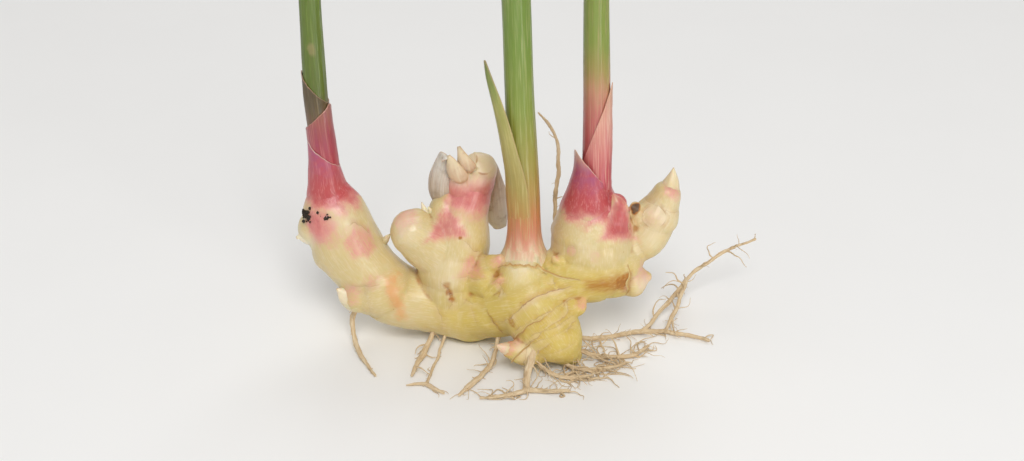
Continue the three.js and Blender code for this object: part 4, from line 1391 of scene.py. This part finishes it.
def layered_cut(stem):
    """Models the cut end: rolled leaf sheaths, one ring inside the next."""
    only(stem)
    caps = [face for face in stem.data.polygons if len(face.vertices) > 4]
    top = max(caps, key=lambda face: face.center.z)
    index, centre = top.index, tuple(top.center)
    bpy.ops.object.mode_set(mode="EDIT")
    bpy.context.tool_settings.mesh_select_mode = (False, False, True)
    bpy.ops.mesh.select_all(action="DESELECT")
    bpy.ops.object.mode_set(mode="OBJECT")
    stem.data.polygons[index].select = True
    bpy.ops.object.mode_set(mode="EDIT")
    share = 1.0
    for scale, depth in CUT_STEPS:
        bpy.ops.mesh.extrude_region_move(TRANSFORM_OT_translate={"value": (0, 0, depth * MM)})
        ratio = scale / share
        bpy.ops.transform.resize(value=(ratio, ratio, 1), center_override=centre)
        share = scale
    bpy.ops.object.mode_set(mode="OBJECT")
    bpy.context.tool_settings.mesh_select_mode = (True, False, False)


def build_stems(context):
    """The cut stems: ribbed rolled sheaths with a seam, a slight bend and a layered cut."""
    for name, stations in STEMS.items():
        stem, u, turn, middle = stalk(f"{name}_leafy_stem", stations, STALK_SIDES, 150)
        points = coordinates(stem)
        out = points - middle[:, :3]
        out[:, 2] = 0
        length = stations[-1][2] - stations[0][2]
        ribs = 0.045 * np.sin(turn * 17 + 3 * np.sin(turn * 2)) + 0.03 * np.sin(turn * 31 + 1.3)
        seam = 0.22 * np.exp(-(((np.angle(np.exp(1j * (turn + 0.9 - 0.5 * u)))) / 0.07) ** 2))
        bend = 0.16 * np.sin(u * length / 19 + 1.1) + 0.1 * np.sin(u * length / 7.3)
        points += unit(out) * (ribs + seam * (turn > -2.5))[:, None]
        points[:, 0] += bend * smoothstep(0.15, 0.4, u) * 0.5
        place(stem, points)
        layered_cut(stem)
        points = coordinates(stem)
        keep_stalk_grain(stem, stations)
        squat = points * np.array([1, 1, SCAR_SQUAT])
        store(stem, "rim", 0.6 * mark(squat, STEM_SCARS.get(name, []), 0.5 * rough(points, 1.6)))
        tidy(stem)
        bpy.ops.object.shade_smooth_by_angle(angle=math.radians(40))
        finish_piece(stem, f"{name}_leaf_sheath", name)


def keep_stalk_grain(obj, stations):
    """Coordinates that run up a stalk with its fibres."""
    points = coordinates(obj)
    grain = Lines([stations]).read(points)[3]
    keep_grain(obj, grain, 0.03)


def build_sheaths(context):
    """Thin sheaths wrapped round the stems, each with a torn slanted rim."""
    looks = {
        "sheath_left_inner": "sheath_left_inner_leaf_sheath",
        "sheath_left_middle": "sheath_left_leaf_sheath",
        "sheath_left_outer": "young_ginger_skin",
        "sheath_right_inner": "sheath_right_leaf_sheath",
        "sheath_right_outer": "young_ginger_skin",
    }
    for number, (name, shape) in enumerate(SHEATHS.items()):
        sheath, u, turn, middle = stalk(
            f"{name}_wrap", shape["stations"], STALK_SIDES, 40, shape["highest"], shape["slant"],
            shape["point"], capped=False,
        )
        points = coordinates(sheath)
        out = points - middle[:, :3]
        out[:, 2] = 0
        tear = np.array([
            0.3 * noise.noise(Vector((math.cos(a) * 3, math.sin(a) * 3, number)))
            + 0.16 * noise.noise(Vector((math.cos(a) * 11, math.sin(a) * 11, number)))
            for a in turn
        ])
        points[:, 2] += tear * smoothstep(0.86, 1, u) * 1.4
        ribs = 0.03 * np.sin(turn * 23 + 2 * np.sin(turn * 3)) + 0.02 * np.sin(turn * 41)
        uneven = 0.25 * rough(points, 7, 12) * smoothstep(1, 0.7, u)
        flare = 0.1 * smoothstep(0.93, 1, u)
        points += unit(out) * (ribs + flare + uneven)[:, None]
        place(sheath, points)
        store(sheath, "rim", smoothstep(0.975, 1, u))
        keep_stalk_grain(sheath, shape["stations"])
        apply(sheath, "SOLIDIFY", thickness=shape["wall"] * MM, offset=-1)
        apply(sheath, "SUBSURF", levels=1, render_levels=1)
        pale = 0.5 * read_back(sheath, "rim")
        if name == "sheath_left_outer":
            keep_blush(sheath, 54, 63.5, violet=(64, 80), pale=pale)
        if name == "sheath_right_outer":
            pale = np.maximum(pale, 0.5 * smoothstep(74, 83, coordinates(sheath)[:, 2]))
            keep_blush(sheath, 54.5, 62.5, violet=(63, 74), pale=pale)
        tidy(sheath)
        finish_piece(sheath, looks[name], name)


# ---------------------------------------------------------------- scale leaves and buds


def scale_leaf(name, shape, across=22, rows=46):
    """A cupped scale leaf: a grid laid along a middle line and bent round it."""
    line, at = smooth_line(shape["stations"], 0.25)
    along = unit(np.gradient(line[:, :3], axis=0))
    face = unit(np.array(shape["face"], float))
    bpy.ops.mesh.primitive_grid_add(x_subdivisions=across, y_subdivisions=rows, size=2)
    leaf = started(name)
    flat = coordinates(leaf) * MM
    u = (flat[:, 1] + 1) / 2
    share = np.linspace(0, 1, len(line))
    middle = np.column_stack([np.interp(u, share, column) for column in line.T])
    direction = unit(np.column_stack([np.interp(u, share, column) for column in along.T]))
    side = unit(np.cross(direction, face))
    out = unit(np.cross(side, direction))
    half_bend = math.radians(shape["bend"])
    curl = middle[:, 3] / math.sin(half_bend)
    turn = flat[:, 0] * half_bend
    ripple = np.abs(flat[:, 0]) ** 3 * np.sin(u * 11 + 2 * np.sign(flat[:, 0]) + len(name))
    ribs = 0.05 * np.cos(flat[:, 0] * 21)
    reach = curl + shape["wave"] * ripple + ribs
    points = middle[:, :3] + side * (reach * np.sin(turn))[:, None]
    points += out * (reach * np.cos(turn) - curl)[:, None]
    place(leaf, points)
    if name.startswith("scale_right_flank"):
        side_free = smoothstep(-0.9, 0.4, flat[:, 0])
        lift = side_free * (0.85 * smoothstep(0.05, 0.6, u) + 0.5 * u)
        drape(leaf, -0.6 + lift + 2.2 * u**3)
    width = middle[:, 3]
    store(leaf, "grain", np.column_stack([flat[:, 0] * width, 0 * u, u * at[-1] * 0.04]) * MM)
    store(leaf, "reach", u)
    margin = np.minimum((1 - np.abs(flat[:, 0])) * width, (1 - u) * at[-1])
    # The teeth's lower rims are orange-brown, partly their colour and partly painted shade under their
    # curl.
    lower_rim = smoothstep(0.2, 0.05, u) * name.startswith("bract_tooth")
    free_rim = 0.7 * smoothstep(0.5, 0.1, margin) * smoothstep(0.1, 0.3, u)
    store(leaf, "rim", np.maximum(free_rim, lower_rim))
    apply(leaf, "SOLIDIFY", thickness=shape["wall"] * MM, offset=0)
    apply(leaf, "SUBSURF", levels=1, render_levels=1)
    tidy(leaf)
    return leaf


def drape(leaf, lift):
    """Lays a leaf on the rhizome: lift says how far each point stands off it, in mm, and a point
    with a lift over 3 mm stays where it is."""
    tree = skin_surface()
    points = coordinates(leaf)
    laid = []
    for point, height in zip(points, lift):
        hit, normal, _, _ = tree.find_nearest(Vector(point * MM))
        target = np.array((hit + normal * height * MM) / MM)
        share = smoothstep(3, 1.2, height)
        laid.append(target * share + point * (1 - share))
    place(leaf, laid)


def build_scales(context):
    """The loose leaf, the shoot's bracts and the scale on the right lobe's flank."""
    looks = {
        "leaf_middle": ("leaf_blade", "leaf"),
        "scale_right_flank": ("young_ginger_skin", "sheath"),
        "bract_outer_left": ("grey_bud_scale", "bract"),
        "bract_tooth_left": ("cream_bud_scale", "bract"),
        "bract_tooth_right": ("cream_bud_scale", "bract"),
        "bract_outer_right": ("grey_bud_scale", "bract"),
    }
    for name, shape in SCALES.items():
        leaf = scale_leaf(f"{name}_scale", shape)
        if name == "scale_right_flank":
            points = coordinates(leaf)
            keep_blush(leaf, 66, 67)
            top = 0.5 * smoothstep(61, 66, points[:, 2])
            store(leaf, "flush", np.maximum(panels(points, "flush"), top))
        material, slot = looks[name]
        finish_piece(leaf, material, name)


def build_cap(context):
    """The closed shoot's cap: folded scales over the growing point, with a knot at the top."""
    knot = [(*CAP_KNOT, 1.4), (*CAP_KNOT[:2], CAP_KNOT[2] + 0.3, 1.0)]
    cap = fused("bract_cap_shoot", [CAP, CAP_LEFT, knot], 0.3 * MM, 6)
    points = coordinates(cap)
    reach = points - (np.array(CAP_KNOT) - DATUM)
    turn = np.arctan2(reach[:, 0], -reach[:, 2])
    distance = np.linalg.norm(reach, axis=1)
    out = 0.25 * rough(points, 3.5, 2)
    fold_line = np.zeros(len(points))
    for start, twist in CAP_FOLDS:
        fold = np.angle(np.exp(1j * (turn - start - twist * distance)))
        ridge = smoothstep(-0.9, 0.0, fold) * smoothstep(0.3, 0.02, fold)
        out += 0.28 * ridge * smoothstep(1.5, 4, distance)
        line = np.exp(-((fold * distance / 0.5) ** 2)) * smoothstep(1.5, 3, distance)
        fold_line = np.maximum(fold_line, line)
    place(cap, points + normals(cap) * out[:, None])
    keep_grain(cap, Lines([CAP]).read(points)[3])
    keep_blush(cap, 71, 64.5, blush=0.3, strength=0.62)
    # Painted shade: thin dark lines along the folds between the cap's scales.
    store(cap, "crease_shade", 0.8 * fold_line * smoothstep(9, 3, distance))
    store(cap, "pale", 0.5 * smoothstep(62, 68, points[:, 2]))
    bpy.ops.object.shade_smooth()
    finish_piece(cap, "young_ginger_skin", "bract_cap")


def build_tips(context):
    """Pointed bud tips, ribbed along their length and dry at the very point."""
    for name, stations in TIPS.items():
        tip = spindle(f"{name}_point", stations, 40, 48, 0.1)
        if name in SECOND_POINTS:
            second = spindle(f"{name}_second", SECOND_POINTS[name], 40, 48, 0.1)
            tip = joined(f"{name}_point", [tip, second])
        points = coordinates(tip)
        _, travel, _, grain, _ = Lines([stations]).read(points)
        length = max(travel.max(), 1)
        ribs = 0.05 * np.sin(np.arctan2(grain[:, 1], grain[:, 0]) * 9)
        place(tip, points + normals(tip) * (ribs * smoothstep(1, 0.4, travel / length))[:, None])
        keep_grain(tip, grain)
        share = travel / length
        pale, base, point = TIP_TINTS[name]
        store(tip, "ripe_and_shade", np.full(len(points), 0.2))
        store(tip, "pale", pale * smoothstep(0.0, 0.9, share))
        at_base, at_point = smoothstep(0.75, 0.1, share), smoothstep(0.3, 0.8, share)
        store(tip, "blush", np.maximum(base * at_base, point * at_point))
        store(tip, "scar", 0.5 * smoothstep(0.93, 1.0, share))
        tidy(tip)
        finish_piece(tip, "young_ginger_skin", name)


# ---------------------------------------------------------------- roots and soil


def build_roots(context):
    """Main roots: strands fused together, then made knotty and wrinkled."""
    sizes = context.scene.ginger_sizes
    for name, strands in ROOTS.items():
        slim = [[(*spot, ROOT_SLIMMING * radius) for *spot, radius in strand] for strand in strands]
        root = fused(f"{name}_strand", slim, sizes.root_grid, 2)
        points = coordinates(root)
        grain = Lines(strands).read(points)[3]
        knobs = 0.22 * rough(points, 2.4, 4) + 0.1 * rough(points, 0.9, 8)
        wrinkle = 0.07 * rough(grain * np.array([1, 1, 0.2]), 0.5, 6)
        wander = np.column_stack([rough(points, 7, 51), rough(points, 7, 61), np.zeros(len(points))])
        place(root, points + normals(root) * (knobs + wrinkle)[:, None] + 0.7 * wander)
        keep_grain(root, grain, 0.15)
        bpy.ops.object.shade_smooth()
        finish_piece(root, "fibrous_root", name)


def inside_box(points, margin=0.4):
    """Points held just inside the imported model's box."""
    low, high = (np.array(corner) / MM for corner in CAD_BOX)
    return np.clip(points, low + margin, high - margin)


def build_rootlets(context):
    """Fine side roots, thin and tapering, that spread from each root over the surface."""
    radius = context.scene.ginger_sizes.rootlet / MM
    draw = random.Random(SEED)
    for name, (count, longest) in ROOTLETS.items():
        lines = [smooth_line(stations, 0.5)[0] for stations in ROOTS[name]]
        bpy.ops.curve.primitive_nurbs_path_add()
        bundle = started(f"{name}_rootlets")
        bundle.data.splines.clear()
        bundle.data.bevel_depth = MM
        bundle.data.bevel_resolution = 1
        bundle.data.use_fill_caps = True
        bundle.data.twist_mode = "MINIMUM"
        for _ in range(count):
            line = draw.choices(lines, weights=[len(line) for line in lines])[0]
            at = int((len(line) - 2) * draw.uniform(0.1, 1))
            onwards = unit(line[at + 1, :3] - line[at, :3])
            stray = np.array([draw.gauss(0, 1), draw.gauss(0, 1), draw.gauss(0.1, 0.5)])
            heading = unit(stray + 0.7 * onwards)
            length = longest * draw.uniform(0.12, 1) ** 1.8 + 1.0
            steps = 10 + int(length / 2)
            points = [line[at, :3]]
            turn = np.array([draw.gauss(0, 0.2), draw.gauss(0, 0.2), 0])
            for _ in range(steps):
                bend = np.array([draw.gauss(0, 0.2), draw.gauss(0, 0.2), draw.gauss(-0.03, 0.12)])
                turn = 0.7 * turn + bend
                heading = unit(heading + turn + 0.1 * onwards)
                step = points[-1] + heading * length / steps
                step[2] = max(step[2], 0.2)
                points.append(step)
            points = inside_box(np.array(points))
            spline = bundle.data.splines.new("POLY")
            spline.points.add(steps)
            thick = radius * draw.uniform(0.6, 1.2) * (0.7 + 1.1 * (length / longest) ** 2)
            for i, point in enumerate(points):
                spline.points[i].co = (*(point * MM), 1)
                spline.points[i].radius = thick * (1 - 0.75 * i / steps)
        only(bundle)
        bpy.ops.object.convert(target="MESH")
        bundle = started(f"{name}_rootlets")
        points = coordinates(bundle)
        points[:, 2] = np.maximum(points[:, 2], 0.02)
        place(bundle, points)
        store(bundle, "grain", points * MM)
        tidy(bundle, 0.0001)
        finish_piece(bundle, "fibrous_root", None)


def build_soil(context):
    """Crumbs of soil: a few grains pressed together, with loose ones beside them."""
    draw = random.Random(SEED)
    surface = skin_surface()
    for name, (x, y, z, radius) in SOIL.items():
        centre = np.array([x, y, z]) - DATUM
        _, facing, _, _ = surface.find_nearest(Vector(centre * MM))
        facing = np.array(facing)
        sideways = unit(np.cross(facing, [0.3, 0.2, 1.0]))
        upwards = np.cross(sideways, facing)
        grains = []
        for number in range(GRAINS):
            grit = radius * draw.uniform(0.08, 0.28)
            bpy.ops.mesh.primitive_ico_sphere_add(subdivisions=2, radius=grit * MM)
            grain = started(f"{name}_grain")
            spread_out = 1.1 if number > PRESSED_GRAINS else 0.3 + 0.07 * radius
            reach = sideways * draw.gauss(0, spread_out)
            reach = (reach + upwards * draw.gauss(0, spread_out)) * radius
            hit, normal, _, _ = surface.find_nearest(Vector((centre + reach) * MM))
            lift = radius * draw.uniform(0.0, 0.34) if number < PRESSED_GRAINS else 0.05
            place(grain, coordinates(grain) + np.array(hit / MM + normal * lift))
            grains.append(grain)
        crumb = joined(f"{name}_lump", grains)
        apply(crumb, "REMESH", mode="VOXEL", voxel_size=0.14 * MM)
        points = coordinates(crumb)
        out = 0.26 * rough(points, 0.9, x) + 0.16 * rough(points, 0.4, z)
        place(crumb, points + normals(crumb) * out[:, None])
        only(crumb)
        bpy.ops.object.shade_smooth()
        finish_piece(crumb, "damp_soil", name)


# ---------------------------------------------------------------- stage


def add_area(name, location, aim, side, power):
    """A softbox that faces its aim."""
    bpy.ops.object.light_add(type="AREA", location=location)
    lamp = bpy.context.object
    lamp.name = name
    lamp.data.shape = "RECTANGLE"
    lamp.data.size, lamp.data.size_y = side
    lamp.data.energy = power
    lamp.rotation_mode = "QUATERNION"
    lamp.rotation_quaternion = (Vector(aim) - Vector(location)).to_track_quat("-Z", "Y")


def build_stage(context):
    """A pale floor, four softboxes, an even sky and the camera."""
    stage = context.scene.ginger_stage
    make_floor_material(stage)
    bpy.ops.mesh.primitive_plane_add(size=6)
    floor = started("floor_board")
    floor.data.materials.append(bpy.data.materials["matt_board"])
    aim = (0, 0, 0.05)
    add_area("key_softbox", (0.12, -1.22, 1.63), aim, (0.9, 0.9), stage.key)
    add_area("strip_softbox", (0.52, -0.65, 0.15), (0, 0, 0.09), (0.14, 0.3), 2.0 * stage.fill)
    add_area("fill_softbox", (-0.9, -0.2, 0.5), aim, (0.7, 0.7), stage.fill)
    add_area("back_softbox", (0.2, 1.9, 1.7), (0, 1.2, 0), (1.8, 1.2), 22 * stage.fill)
    world = bpy.data.worlds.new("pale_room")
    context.scene.world = world
    world.use_nodes = True
    background = world.node_tree.nodes["Background"]
    background.inputs[0].default_value = (1, 1, 1, 1)
    background.inputs[1].default_value = stage.sky
    context.scene.view_settings.view_transform = "Standard"
    target = CAMERA_AIM - Vector(DATUM * MM)
    back = Vector((0, -math.cos(CAMERA_TILT), math.sin(CAMERA_TILT)))
    bpy.ops.object.camera_add(location=target + back * CAMERA_DISTANCE)
    camera = bpy.context.object
    camera.name = "camera"
    camera.rotation_mode = "QUATERNION"
    camera.rotation_quaternion = (-back).to_track_quat("-Z", "Y")
    camera.data.lens = CAMERA_LENS
    camera.data.sensor_width = 36
    camera.data.clip_start = 0.01
    context.scene.camera = camera


# ---------------------------------------------------------------- operators and panel


class GINGER_OT_materials(bpy.types.Operator):
    """Makes the finishes of all the pieces"""

    bl_idname = "ginger.materials"
    bl_label = "Materials"

    def execute(self, context):
        make_materials(context)
        return {"FINISHED"}


class GINGER_OT_rhizome(bpy.types.Operator):
    """Models the rhizome's skin with its rings, buds and scars"""

    bl_idname = "ginger.rhizome"
    bl_label = "Rhizome"

    def execute(self, context):
        build_rhizome(context)
        return {"FINISHED"}


class GINGER_OT_skin_flakes(bpy.types.Operator):
    """Models the papery remains of scale leaves"""

    bl_idname = "ginger.skin_flakes"
    bl_label = "Skin flakes"

    def execute(self, context):
        build_skin_flakes(context)
        return {"FINISHED"}


class GINGER_OT_stems(bpy.types.Operator):
    """Models the leafy stems and their cut ends"""

    bl_idname = "ginger.stems"
    bl_label = "Stems"

    def execute(self, context):
        build_stems(context)
        return {"FINISHED"}


class GINGER_OT_sheaths(bpy.types.Operator):
    """Models the sheaths that wrap the stems"""

    bl_idname = "ginger.sheaths"
    bl_label = "Sheaths"

    def execute(self, context):
        build_sheaths(context)
        return {"FINISHED"}


class GINGER_OT_scales(bpy.types.Operator):
    """Models the loose leaf, the bracts and the flank scale"""

    bl_idname = "ginger.scales"
    bl_label = "Scale leaves"

    def execute(self, context):
        build_scales(context)
        return {"FINISHED"}


class GINGER_OT_cap(bpy.types.Operator):
    """Models the cap of the closed shoot"""

    bl_idname = "ginger.cap"
    bl_label = "Shoot cap"

    def execute(self, context):
        build_cap(context)
        return {"FINISHED"}


class GINGER_OT_tips(bpy.types.Operator):
    """Models the pointed bud tips and spikes"""

    bl_idname = "ginger.tips"
    bl_label = "Bud tips"

    def execute(self, context):
        build_tips(context)
        return {"FINISHED"}


class GINGER_OT_roots(bpy.types.Operator):
    """Models the main roots"""

    bl_idname = "ginger.roots"
    bl_label = "Roots"

    def execute(self, context):
        build_roots(context)
        return {"FINISHED"}


class GINGER_OT_rootlets(bpy.types.Operator):
    """Models the fine side roots"""

    bl_idname = "ginger.rootlets"
    bl_label = "Rootlets"

    def execute(self, context):
        build_rootlets(context)
        return {"FINISHED"}


class GINGER_OT_soil(bpy.types.Operator):
    """Models the crumbs of soil"""

    bl_idname = "ginger.soil"
    bl_label = "Soil"

    def execute(self, context):
        build_soil(context)
        return {"FINISHED"}


class GINGER_OT_stage(bpy.types.Operator):
    """Sets the floor, the lights and the camera"""

    bl_idname = "ginger.stage"
    bl_label = "Stage"

    def execute(self, context):
        build_stage(context)
        return {"FINISHED"}


STEPS = [
    GINGER_OT_materials,
    GINGER_OT_rhizome,
    GINGER_OT_skin_flakes,
    GINGER_OT_stems,
    GINGER_OT_sheaths,
    GINGER_OT_scales,
    GINGER_OT_cap,
    GINGER_OT_tips,
    GINGER_OT_roots,
    GINGER_OT_rootlets,
    GINGER_OT_soil,
    GINGER_OT_stage,
]


class GINGER_PT_panel(bpy.types.Panel):
    """Lists the pieces and their settings in the sidebar."""

    bl_idname = "GINGER_PT_panel"
    bl_label = "Ginger Root"
    bl_space_type = "VIEW_3D"
    bl_region_type = "UI"
    bl_category = "Ginger"

    def draw(self, context):
        for group in ("ginger_sizes", "ginger_colours", "ginger_stage"):
            settings = getattr(context.scene, group)
            for name in settings.bl_rna.properties.keys():
                if name not in ("rna_type", "name"):
                    self.layout.prop(settings, name)
        for step in STEPS:
            self.layout.operator(step.bl_idname)


CLASSES = [GingerSizes, GingerColours, GingerStage, *STEPS, GINGER_PT_panel]


def register():
    for cls in CLASSES:
        bpy.utils.register_class(cls)
    bpy.types.Scene.ginger_sizes = bpy.props.PointerProperty(type=GingerSizes)
    bpy.types.Scene.ginger_colours = bpy.props.PointerProperty(type=GingerColours)
    bpy.types.Scene.ginger_stage = bpy.props.PointerProperty(type=GingerStage)


def unregister():
    del bpy.types.Scene.ginger_stage
    del bpy.types.Scene.ginger_colours
    del bpy.types.Scene.ginger_sizes
    for cls in reversed(CLASSES):
        bpy.utils.unregister_class(cls)


def main():
    register()
    for step in STEPS:
        getattr(bpy.ops.ginger, step.bl_idname.split(".")[1])()


if __name__ == "__main__":
    main()
